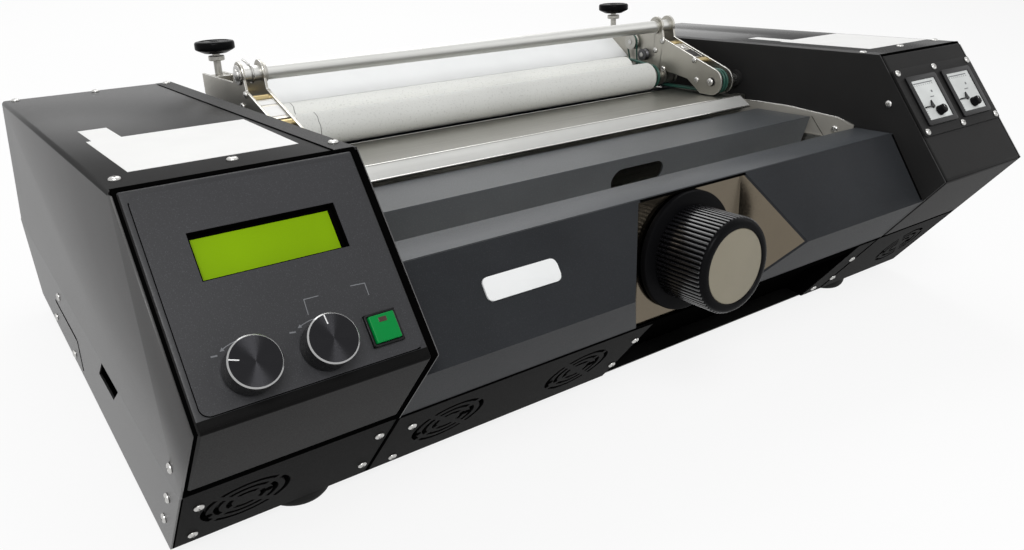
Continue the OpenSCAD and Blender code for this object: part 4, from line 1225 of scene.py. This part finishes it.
class MACHINE_OT_control_knobs(bpy.types.Operator):
    """Turned metal knobs with a bright rim and an index line"""
    bl_idname = "machine.control_knobs"
    bl_label = "Control knobs"

    def execute(self, context):
        for word, (x, h, aim) in CONTROL_KNOBS.items():
            place, body = on_panel(x, KNOB_ROW, h), word + "_dial"
            knob = Shape().turned(place, KNOB_SIDE, 72).turned(place, KNOB_RIM, 72, mat=1)
            knob.turned(place, KNOB_FOOT, 32)
            knob.block(place @ spun(aim) @ move(INDEX_R, 0, INDEX_H), INDEX_SIZE, bevel=0.05, mat=2)
            knob.finish(word + "_knob_body", ["turned_dark", "turned_rim", "print_white"],
                        body, "turned_aluminium", [word + "_knob"])
            turned_face(word + "_knob_face", place, KNOB_FACE_R, KNOB_FACE_H, body)
        return {"FINISHED"}


# Film knob: its place in the leaning frame, and profiles of (radius, height) in millimetres
FILM_KNOB = (-6.5, 1.0, -47.2)
SKIRT = [(0, 0), (44.4, 0), (45, 0.6), (45, 3.4), (44.5, 4.5), (43.4, 5.0), (33.0, 5.0)]
GRIP = [(33.3, 4.8), (33.3, 45.7), (27.3, 45.7)]
FILM_SHAFT = [(5, -27), (5, 0.5)]
GRIP_RIM = [(27.4, 45.1), (27.4, 47.8), (27.9, 48.4), (29.2, 48.5), (31.6, 48.4), (33.2, 47.5),
            (34.0, 46.1), (34.1, 45.1)]
FILM_CAP = [(0, 45.3), (27.25, 45.3), (27.25, 47.4), (26.9, 47.8), (26.2, 47.9), (0, 47.95)]
RIB_SIZE, RIB_R, RIB_MID = (2.8, 1.95, 40.5), 33.6, 25.15


class MACHINE_OT_film_knob(bpy.types.Operator):
    """Large ribbed film knob with its skirt, rim and cap"""
    bl_idname = "machine.film_knob"
    bl_label = "Film knob"

    def execute(self, context):
        ribs = context.scene.machine_sizes.ribs
        place = knob_axis(*FILM_KNOB)
        knob = Shape().turned(place, SKIRT, 96, mat=1).turned(place, GRIP, 96)
        knob.turned(place, FILM_SHAFT, 32).turned(place, GRIP_RIM, 96)
        knob.finish("film_knob_body", ["knob_plastic", "skirt_plastic"], "film_setting", "knob_black",
                    ["film_knob"])
        rib = Shape().block(Matrix.Identity(4), RIB_SIZE, bevel=0.55).mesh("rib")
        ring = [place @ spun(360 * k / ribs) @ move(RIB_R, 0, RIB_MID) for k in range(ribs)]
        repeat("film_knob_ribs", rib, ring, "rib_plastic", "film_setting")
        cap = Shape().turned(place, FILM_CAP, 96)
        cap.finish("film_cap", "cap_warm_grey", "film_setting", "cap_grey", ["film_knob_cap"])
        return {"FINISHED"}


# Outlines of the labels on the tops: x across, then back from the front edge
LEFT_LABEL = [(-363, 31.2), (-270.8, 31.2), (-267, 129.3), (-343, 129.3),
              (-343, 168.7), (-360, 168.7), (-360, 129.3), (-363, 129.3)]
RIGHT_LABEL = [(281, 29), (374.5, 29), (374.5, 128), (300, 128),
               (300, 171), (285, 171), (285, 128), (281, 128)]
LABEL_H = 0.18
PLATE, PLATE_SIZE, PLATE_CORNER, PLATE_H = (-167, 29), (56, 15), 4, 1.3


class MACHINE_OT_labels(bpy.types.Operator):
    """Plain labels and the blank plate"""
    bl_idname = "machine.labels"
    bl_label = "Blank labels"

    def execute(self, context):
        for name, outline in (("left_label", LEFT_LABEL), ("right_label", RIGHT_LABEL)):
            label = Shape().prism(on_top(0, 0), outline, 0.0, LABEL_H)
            label.finish(name, "label_white", "frame", "plate_white")
        outline = rounded(*PLATE_SIZE, PLATE_CORNER, steps=8)
        plate = Shape().prism(on_middle(*PLATE), outline, 0.0, PLATE_H, bevel=0.5, steps=3)
        plate.finish("front_plate", "plate_white_enamel", "frame", "plate_white", ["blank_plate"])
        return {"FINISHED"}


# Screw head of unit diameter, as (radius, height), and the height and size of the cuts for its cross
HEAD = [(0.47, 0.0), (0.5, 0.03), (0.5, 0.09), (0.47, 0.16),
        (0.40, 0.225), (0.28, 0.27), (0.14, 0.29), (0, 0.294)]
CROSS_H, CROSS_SIZE = 0.31, (0.52, 0.12, 0.28)
# Places of the screws, in millimetres on each face
BASE_SCREWS = ((-368, 25), (-368, 73), (-258, 20), (-258, 68), (-233, 26), (-233, 77), (-40, 25), (-40, 65),
               (230, 77), (242, 31), (250, 67))
FRONT_SCREWS, FRONT_ROW = (372, 313, 255), 19
REAR_SCREWS, REAR_ROW = (-371, -312.5, -256), 345
SIDE_SCREWS = ((8, 15.6), (28, -20), (47, -50), (305, -27), (343, -64.5), (281, -66.5))
DIAL_PLATE_ROW, DIAL_PLATE_H, DIAL_PLATE_STEP = 49.5, 2, (57, 28.5)  # screws round the instruments
INNER_SCREW, LID_SCREW = (20, 38), (56, -4)  # one before the panel's edge, one in the leaning frame


def pan_head():
    """Pan head of unit diameter with a cross recess."""
    unit = Matrix.Scale(1 / MM, 4)
    cuts = []
    for turn in (0, 90):
        cut = Shape().block(unit @ spun(turn) @ move(0, 0, CROSS_H), CROSS_SIZE)
        cuts.append(cut.mesh("cross"))
    return cut_mesh(Shape().turned(unit, HEAD, 20).mesh("head"), *cuts)


def screw_spots():
    """Where the panel screws sit, with their heads outwards."""
    spots = [on_base(x, s) for x, s in BASE_SCREWS]
    for sign in (-1, 1):
        spots += [on_top(sign * x, FRONT_ROW) for x in FRONT_SCREWS]
        spots += [on_side(sign, BASE[0] + y, BASE[1] + z) for y, z in SIDE_SCREWS]
    spots += [on_top(x, REAR_ROW) for x in REAR_SCREWS]
    dx, ds = DIAL_PLATE_STEP
    for i in (-1, 0, 1):
        spots += [on_panel(FRONT_MID + i * dx, DIAL_PLATE_ROW + j * ds, DIAL_PLATE_H) for j in (-1, 1)]
    spots.append(move(INNER, TOP[0] - INNER_SCREW[0], TOP[1] - INNER_SCREW[1]) @ spun(-90, "Y"))
    spots.append(facing(-1, INNER - SHEET, *LID_SCREW))
    return spots


class MACHINE_OT_screws(bpy.types.Operator):
    """Pan head screws of the panels"""
    bl_idname = "machine.screws"
    bl_label = "Screws"

    def execute(self, context):
        repeat("panel_screw_heads", pan_head(), screw_spots(), "screw_nickel", "frame",
               size=context.scene.machine_sizes.screw, spin=math.pi, seed=11,
               replaces=["panel_screws"])
        return {"FINISHED"}


# Arms of the press unit in millimetres: x of their middle, and the handwheels' place along the lean
ARM_X, WHEEL_V = 222, 329
# Handwheel, spindle and collar as (radius, height)
WHEEL = [(3, 90), (9.2, 90), (14.9, 92.7), (15.8, 93.4), (16, 94.0), (16, 97.7), (15.7, 98.7), (15.0, 99.4),
         (12.4, 99.9), (11.9, 99.8), (11.5, 99.3), (4, 99.3), (3.6, 98.9), (0, 98.9)]
SPINDLE = [(3, 24.3), (3, 90.3)]
COLLAR = [(3, 84), (6.0, 84), (6.5, 84.5), (6.5, 87.5), (6.0, 88), (3, 88)]


class MACHINE_OT_handwheels(bpy.types.Operator):
    """Handwheels with their spindles and collars"""
    bl_idname = "machine.handwheels"
    bl_label = "Handwheels"

    def execute(self, context):
        for sign, word in ((-1, "left"), (1, "right")):
            place = leaning(sign * ARM_X, WHEEL_V, 0)
            wheel = Shape().turned(place, WHEEL, 48)
            wheel.turned(place, SPINDLE, 24, mat=1).turned(place, COLLAR, 32, mat=1)
            wheel.finish(word + "_handwheel_body", ["knob_plastic", "pulley_grey"],
                         word + "_handwheel", "knob_black", ["handwheel_" + word])
        return {"FINISHED"}


# Press unit: places in the leaning frame, (v, w), and profiles of (radius, distance along the width)
LIFT_BAR, PIVOT = (254, 80), (175.7, 31)
BAR = [(0, -231.2), (6, -231.2), (6, 231.2), (0, 231.2)]
BAR_CAP = [(5.5, 231.05), (7.4, 231.05), (7.6, 231.3), (7.6, 232.2), (7.3, 232.5), (4.6, 232.5), (4.4, 233.6),
           (3.6, 233.95), (0, 233.95)]
BAR_COLLAR = [(6, 210.2), (7.4, 210.2), (7.4, 212.9), (6, 212.9)]
SLEEVE = [(4.02, 233), (5.2, 233), (5.5, 233.4), (5.5, 237), (4.6, 237.4), (4.6, 247.5), (4.02, 247.5)]
BRIDGE, BRIDGE_RISE = (217.6, 57.65), math.atan2(10.3, 28)
BRIDGE_WIDTH, BRIDGE_PLATE_H = 12.6, 0.3
# Plates on the bridges: side, place up the bridge, length and number of the finish
BRIDGE_PLATES = ((-1, -4, 15, 1), (-1, 9.5, 6, 1), (1, -6.6, 14.6, 5))
HOOK_X, HOOK_R, HOOK_WIRE = -221.7, 6.9, 0.8
HOOK_END = [(-222.5, 258.5, 88.5), (-224.5, 260, 90.6)]
# Guide pulleys at the right arm and the belt's lower turn: places and radii, x, half width and bore
UPPER_GUIDE, LOWER_GUIDE, BELT_LOW = (286, 63), (268, 51), (282, 35)
UPPER_R, LOWER_R, BELT_UPPER_R, BELT_LOWER_R, BELT_CORD = 8.0, 6.0, 7.4, 4.7, 0.9
GUIDE_X, GUIDE_HALF, GUIDE_BORE = 209.8, 2.8, 1.5
GUIDE_NUT = [(2.6, -3.6), (2.6, 3.4)]
ARM_BOLTS = ((244, 66), (254, 56), (199, 50), (242, 38), (195, 31))
ARM_FACES = ((-1, 213), (-1, -231), (1, 231), (1, -213))  # way that a plate faces, and its x
ARM_EDGE, PIVOT_BOLT_X, BRIDGE_BOLT = 0.3, 211.5, 6


def mirrored(profile, sign):
    """A profile on one side of the machine's middle."""
    return [(r, sign * z) for r, z in profile]


def bridge(sign, y=0.0, h=0.0):
    """On the sloping bridge of an arm: y up along it from its middle."""
    return leaning(sign * ARM_X, *BRIDGE) @ Matrix.Rotation(BRIDGE_RISE, 4, "X") @ move(0, y, h)


def lift_bar():
    axis = across(0, *LIFT_BAR)
    bar = Shape().turned(axis, BAR, 40)
    for sign in (-1, 1):
        bar.turned(axis, mirrored(BAR_CAP, sign), 40, mat=1)
        bar.turned(axis, mirrored(BAR_COLLAR, sign), 40, mat=2)
    bar.finish("lift_bar_tube", ["tube_zinc", "screw_nickel", "pulley_grey"], "press_unit", "zinc_steel",
               ["lift_bar"])


def guide_pulley(shape, place, r, mat):
    groove_and_shade_line = [(r - 0.2, -1.6), (r - 1.3, 0), (r - 0.2, 1.6)]
    left, right = [(GUIDE_BORE, -GUIDE_HALF), (r, -GUIDE_HALF)], [(r, GUIDE_HALF), (GUIDE_BORE, GUIDE_HALF)]
    shape.turned(across(GUIDE_X, *place), left + groove_and_shade_line + right, 40, mat=mat)
    shape.turned(across(GUIDE_X, *place), GUIDE_NUT, 6)


def press_fittings():
    """Wire hook on the left, plates on the bridges, and guide pulleys with a belt on the right."""
    around = [math.radians(a) for a in range(-190, 21, 15)]
    v, w = LIFT_BAR
    hook = [(HOOK_X, v + HOOK_R * math.sin(a), w + HOOK_R * math.cos(a)) for a in around] + HOOK_END
    pieces = Shape().wire([leaning_point(*q) for q in hook], HOOK_WIRE)
    for sign, y, long, mat in BRIDGE_PLATES:
        size = (BRIDGE_WIDTH, long, BRIDGE_PLATE_H)
        pieces.block(bridge(sign, y, BRIDGE_PLATE_H / 2), size, bevel=0.08, mat=mat)
    guide_pulley(pieces, UPPER_GUIDE, UPPER_R, mat=2)
    guide_pulley(pieces, LOWER_GUIDE, LOWER_R, mat=3)
    loop = arc(*UPPER_GUIDE, BELT_UPPER_R, -10, 201, 15) + arc(*BELT_LOW, BELT_LOWER_R, 190, 361, 17)
    pieces.wire([leaning_point(GUIDE_X, v, w) for v, w in loop], BELT_CORD, mat=4, closed=True)
    finishes = ["screw_nickel", "label_white", "pulley_grey", "motor_steel", "belt_green_cord",
                "frame_plastic"]
    pieces.finish("press_unit_fittings", finishes, "press_unit", "zinc_steel")


class MACHINE_OT_press_unit(bpy.types.Operator):
    """Lift bar, hook, bridge plates, guide pulleys, bolts and pivot sleeves of the press unit"""
    bl_idname = "machine.press_unit"
    bl_label = "Press unit"

    def execute(self, context):
        p = context.scene.machine_sizes
        soften(ARM_EDGE * MM, "arm_left", "arm_right", bright="steel_bright")
        lift_bar()
        press_fittings()
        bolts = [facing(sign, x, v, w) for sign, x in ARM_FACES for v, w in ARM_BOLTS]
        repeat("arm_bolts", pan_head(), bolts + [bridge(1, BRIDGE_BOLT)], "screw_nickel", "press_unit",
               size=p.bolt, spin=math.pi, seed=5)
        pins = [facing(sign, -sign * PIVOT_BOLT_X, *PIVOT) for sign in (-1, 1)]
        repeat("pivot_bolts", pan_head(), pins, "screw_nickel", "frame",
               size=p.pivot, spin=math.pi, seed=6)
        sleeves = Shape()
        for sign in (-1, 1):
            sleeves.turned(across(0, *PIVOT), mirrored(SLEEVE, sign), 32)
        sleeves.finish("pivot_sleeves", "screw_nickel", "frame", "zinc_steel")
        return {"FINISHED"}


# Rollers: place of the axis in the leaning frame, and whether the shaft carries an outer pulley
ROLLERS = {"front": (248, 31, True), "rear": (282, 35, False)}
ROLLER_COVER = [(4, -196), (13.5, -196), (14, -195.5), (14, 195.5), (13.5, 196), (4, 196)]
BELT_PULLEY = [(4, 195.9), (4, 199), (9, 199), (8.9, 200.2), (8.0, 202.5), (8.9, 204.8), (9, 206), (4, 206)]
OUTER_PULLEY = [(4, 218), (9, 218), (9, 226), (4, 226)]
SHAFT_END = [(4, 230.6), (0, 230.6)]


class MACHINE_OT_rollers(bpy.types.Operator):
    """Press rollers: pale covers on steel cores with belt grooves"""
    bl_idname = "machine.rollers"
    bl_label = "Press rollers"

    def execute(self, context):
        for word, (v, w, outer) in ROLLERS.items():
            core = BELT_PULLEY + (OUTER_PULLEY if outer else []) + SHAFT_END
            roller = Shape().turned(across(0, v, w), ROLLER_COVER, 64)
            for sign in (-1, 1):
                roller.turned(across(0, v, w), mirrored(core, sign), 40, mat=1)
            roller.finish(word + "_roller_body", [word + "_cover_white", "pulley_grey"],
                          word + "_press_roller", "roller_cover", [word + "_roller"])
        return {"FINISHED"}


# Instruments in millimetres: x of the two, the row of their middles and of their knobs, height of the faces
DIALS, DIAL_ROW, DIAL_KNOB_ROW, FACE_H = (286.5, 343.5), 50, 62.5, 3.1
DIAL_KNOB_SHIFT = 1  # the knobs stand this far to the right of the middles
DIAL_RIM, DIAL_RIM_CORNER, DIAL_RIM_LOW, DIAL_RIM_HIGH = 47, 1.8, 2.0, 3.8
DIAL_OPENING, DIAL_OPENING_CORNER, DIAL_CUT = (36.7, 38.2), 0.8, 9
DIAL_CASE, DIAL_CASE_Z = (44, 44, 42.5), -18.75
# Marks on a face: lines with their width, a dot, and the rows of ticks with start, step and number
DIAL_MARKS = (([(-16.5, 16.0), (13.0, 16.0)], 0.9), ([(-1.0, 1.8), (5.0, 1.8)], 0.8))
MARK_H, DOT_PLACE, DOT = 0.1, (5.2, 6.8, 0), [(0, 0), (1.2, 0), (1.2, 0.1), (0, 0.1)]
UPPER_TICKS, UPPER_STEP, UPPER_COUNT = (-15.5, 14.2), 3.4, 9
SIDE_TICKS, SIDE_STEP, SIDE_COUNT = (-16.6, -10.5), 2.2, 4
TICK_SIZE, POINTER_EDGE = (0.4, 1.4, 0.16), 0.2
DIAL_KNOB_LINE, DIAL_KNOB_LINE_SIZE = (0, 2.0, 9.45), (0.6, 2.6, 0.1)
DIAL_STEM = [(1.5, -7.5), (1.5, 4.2)]
DIAL_KNOB = [(0, 3.5), (4.2, 3.5), (4.5, 3.8), (4.5, 4.5), (4.2, 4.9),
             (4.0, 8.7), (3.6, 9.3), (3.0, 9.5), (0, 9.5)]


def instrument_frame(number, place):
    outline = rounded(DIAL_RIM, DIAL_RIM, DIAL_RIM_CORNER)
    rim = Shape().prism(place, outline, DIAL_RIM_LOW, DIAL_RIM_HIGH, bevel=0.5, steps=3).mesh("rim")
    outline = rounded(*DIAL_OPENING, DIAL_OPENING_CORNER, steps=3)
    hole = Shape().prism(place, outline, 0, DIAL_CUT).mesh("hole")
    put("instrument_bezel_" + number, cut_mesh(rim, hole), "frame_plastic", "frame",
        ["dial_frames"] if number == "1" else ())
    case = Shape().block(place @ move(0, 0, DIAL_CASE_Z), DIAL_CASE, bevel=0.5)
    case.finish("instrument_case_" + number, "frame_plastic", "frame", "black_plastic")


def instrument_knob(number, place):
    knob = Shape().turned(place, DIAL_STEM, 20).turned(place, DIAL_KNOB, 32)
    knob.block(place @ move(*DIAL_KNOB_LINE), DIAL_KNOB_LINE_SIZE, mat=1)
    knob.finish("instrument_knob_" + number, ["knob_plastic", "print_white"],
                "dial_" + number, "black_plastic", ["dial_knob_" + number])


class MACHINE_OT_instruments(bpy.types.Operator):
    """Two small instruments: bezel, scale, knob and pointer"""
    bl_idname = "machine.instruments"
    bl_label = "Instruments"

    def execute(self, context):
        ticks, marks = [], Shape()
        for number, x in zip("12", DIALS):
            instrument_frame(number, on_panel(x, DIAL_ROW))
            face = on_panel(x, DIAL_ROW) @ move(0, 0, FACE_H)
            for line, width in DIAL_MARKS:
                marks.line(face, line, width, MARK_H)
            marks.turned(face @ move(*DOT_PLACE), DOT, 20)
            a, b = UPPER_TICKS
            ticks += [face @ move(a + UPPER_STEP * k, b, 0) for k in range(UPPER_COUNT)]
            a, b = SIDE_TICKS
            ticks += [face @ move(a, b - SIDE_STEP * k, 0) @ spun(90) for k in range(SIDE_COUNT)]
            instrument_knob(number, on_panel(x + DIAL_KNOB_SHIFT, DIAL_KNOB_ROW))
        marks.finish("instrument_marks", "print_grey", "frame", "dial_face_grey")
        tick = Shape().block(Matrix.Identity(4), TICK_SIZE, bevel=0.03).mesh("tick")
        repeat("instrument_ticks", tick, ticks, "print_black", "frame")
        soften(POINTER_EDGE * MM, "dial_pointer_1", "dial_pointer_2")
        return {"FINISHED"}


# Base in millimetres: places and profile of the feet, grilles, and the joint lines on the left side
FEET_X, FEET_Y = (-290, 290), (-126.706, 178.776)
FOOT = [(0, 0.6), (17, 0.6), (18, 0), (21, 0), (22.6, 0.7), (23.8, 2.4), (24.5, 5), (24.5, 12), (0, 12)]
GRILLES, GRILLE_ROW, GRILLE_HOLES = (-339, -200, -88, 335), 43, ((-22, 6.3), (13.5, -2))
GRILLE_DOT = [(0, 0), (2.8, 0), (2.8, 0.12), (0, 0.12)]
SIDE_LINES = (((91.8, 46), -1.5, (0.4, 74, 1.8)), ((54.3, 33.5), 2, (0.4, 1.8, 27)))
SIDE_LINE_X = -HALF - 0.05


class MACHINE_OT_base_details(bpy.types.Operator):
    """Feet, black discs of painted shade for the grille holes, and the joint lines of the base"""
    bl_idname = "machine.base_details"
    bl_label = "Base details"

    def execute(self, context):
        feet = Shape()
        for x in FEET_X:
            for y in FEET_Y:
                feet.turned(at(x, y, 0), FOOT, 48)
        feet.finish("rubber_feet", "foot_rubber_black", "frame", "foot_rubber", ["feet"])
        # Black discs on the grilles where the holes are: painted shade
        dot = Shape().turned(Matrix.Identity(4), GRILLE_DOT, 24).mesh("dot")
        holes = [on_base(x + dx, GRILLE_ROW + ds) for x in GRILLES for dx, ds in GRILLE_HOLES]
        repeat("grille_holes", dot, holes, "gap_black", "frame")
        lines = Shape()
        for (y, z), turn, size in SIDE_LINES:
            lines.block(at(SIDE_LINE_X, y, z, math.radians(turn)), size)
        lines.finish("base_side_joint", "gap_black", "frame", "dark_bay")
        return {"FINISHED"}


# Tank and table in millimetres: edges and places as (v, w) in the leaning frame, the table's with a radius
# Bright wires on the side plates' edges and on the table's edges and fold: painted highlights
SIDE_EDGE, SIDE_EDGE_X, SIDE_EDGE_R = ((39, 1.6), (54, 6.4), (110, 10.4), (344, 10.4)), 249.2, 0.75
SIDE_SEAM, SIDE_SEAM_X, SIDE_SEAM_R = ((82, 4.5), (67, -12.5)), 248.45, 0.22
TABLE_EDGES, TABLE_HALF = ((143.9, 8.9, 0.5), (157.0, 17.2, 0.5), (237.6, 16.6, 0.4)), 234.6
LEDGE, LEDGE_SIZE = (18.2, 0.1), (2 * INNER - 5, 33.8, 0.3)
LID_FRONT, LID_FRONT_SLOPE, LID_FRONT_SIZE = (86.5, -13.5), math.atan2(37, -12.4), (487.4, 38.0)
LID_SKIN, SLOT_CUT = 0.25, 3  # thickness of the lid front's skin, and reach of the slot's cut to both sides
FINGER_SLOT, SLOT_SIZE, SLOT_CORNER = (27.5, -0.5), (57.4, 20.4), 10.1
LIP, LIP_SLOPE, LIP_H, LIP_SIZE = (150.35, 12.55), math.atan2(8.5, 13.5), 0.15, (469.6, 15.7, 0.4)


def tank_skins():
    """Thin skins on the ledge, the lid's front and the table's lip, each lighter than the part round it:
    painted light.
    """
    ledge = Shape().block(leaning(0, *LEDGE), LEDGE_SIZE, bevel=0.05)
    ledge.finish("front_ledge", "ledge_black", "frame", "black_powder_coat")
    front = leaning(0, *LID_FRONT) @ Matrix.Rotation(LID_FRONT_SLOPE, 4, "X")
    plate = Shape().prism(front, rounded(*LID_FRONT_SIZE, r=0.4, steps=2), 0.0, LID_SKIN).mesh("lid_front")
    place, outline = front @ move(*FINGER_SLOT, 0), rounded(*SLOT_SIZE, SLOT_CORNER)
    slot = Shape().prism(place, outline, -SLOT_CUT, SLOT_CUT).mesh("slot")
    put("lid_front", cut_mesh(plate, slot), "lid_front_black", "lid")
    place = leaning(0, *LIP) @ Matrix.Rotation(LIP_SLOPE, 4, "X") @ move(0, 0, LIP_H)
    lip = Shape().block(place, LIP_SIZE, bevel=0.1)
    lip.finish("table_lip", "lip_steel", "frame", "stainless_sheet")


class MACHINE_OT_tank_details(bpy.types.Operator):
    """Bright edges of the tank's side plates and of the table as painted highlights, the side plates' seams,
    thin skins in lighter coats as painted light, and softened sheet edges
    """
    bl_idname = "machine.tank_details"
    bl_label = "Tank details"

    def execute(self, context):
        edge = Shape()
        for sign in (-1, 1):
            edge.wire([leaning_point(sign * SIDE_EDGE_X, v, w) for v, w in SIDE_EDGE], SIDE_EDGE_R)
            edge.wire([leaning_point(sign * SIDE_SEAM_X, v, w) for v, w in SIDE_SEAM], SIDE_SEAM_R, 8, mat=1)
        tank_skins()
        for v, w, r in TABLE_EDGES:
            edge.wire([leaning_point(x, v, w) for x in (-TABLE_HALF, TABLE_HALF)], r)
        edge.finish("tank_side_edges", ["steel_bright", "gap_black"], "frame", "stainless_sheet")
        soften(context.scene.machine_sizes.edge, "tank_lid", "guard_sheet", "instrument_plate")
        return {"FINISHED"}


OPERATORS = [
    MACHINE_OT_stage, MACHINE_OT_finishes, MACHINE_OT_fronts, MACHINE_OT_covers, MACHINE_OT_control_panel,
    MACHINE_OT_control_knobs, MACHINE_OT_film_knob, MACHINE_OT_labels, MACHINE_OT_screws,
    MACHINE_OT_handwheels, MACHINE_OT_press_unit, MACHINE_OT_rollers, MACHINE_OT_instruments,
    MACHINE_OT_base_details, MACHINE_OT_tank_details,
]
STEPS = [c.bl_idname.split(".")[1] for c in OPERATORS]


class MACHINE_PT_panel(bpy.types.Panel):
    """Steps that dress the machine, and its sizes and colours"""
    bl_label = "Gluing machine"
    bl_idname = "MACHINE_PT_panel"
    bl_space_type = "VIEW_3D"
    bl_region_type = "UI"
    bl_category = "Gluing machine"

    def draw(self, context):
        scene = context.scene
        for step in STEPS:
            self.layout.operator("machine." + step)
        for group in (scene.machine_colours, scene.machine_sizes, scene.machine_stage):
            box = self.layout.box()
            for key in group.bl_rna.properties.keys():
                if key not in ("rna_type", "name"):
                    box.prop(group, key)


CLASSES = [MachineColours, MachineSizes, MachineStage] + OPERATORS + [MACHINE_PT_panel]


def register():
    for c in CLASSES:
        bpy.utils.register_class(c)
    bpy.types.Scene.machine_colours = bpy.props.PointerProperty(type=MachineColours)
    bpy.types.Scene.machine_sizes = bpy.props.PointerProperty(type=MachineSizes)
    bpy.types.Scene.machine_stage = bpy.props.PointerProperty(type=MachineStage)


def unregister():
    del bpy.types.Scene.machine_stage, bpy.types.Scene.machine_sizes, bpy.types.Scene.machine_colours
    for c in reversed(CLASSES):
        bpy.utils.unregister_class(c)


def main():
    register()
    for step in STEPS:
        getattr(bpy.ops.machine, step)()


if __name__ == "__main__":
    main()
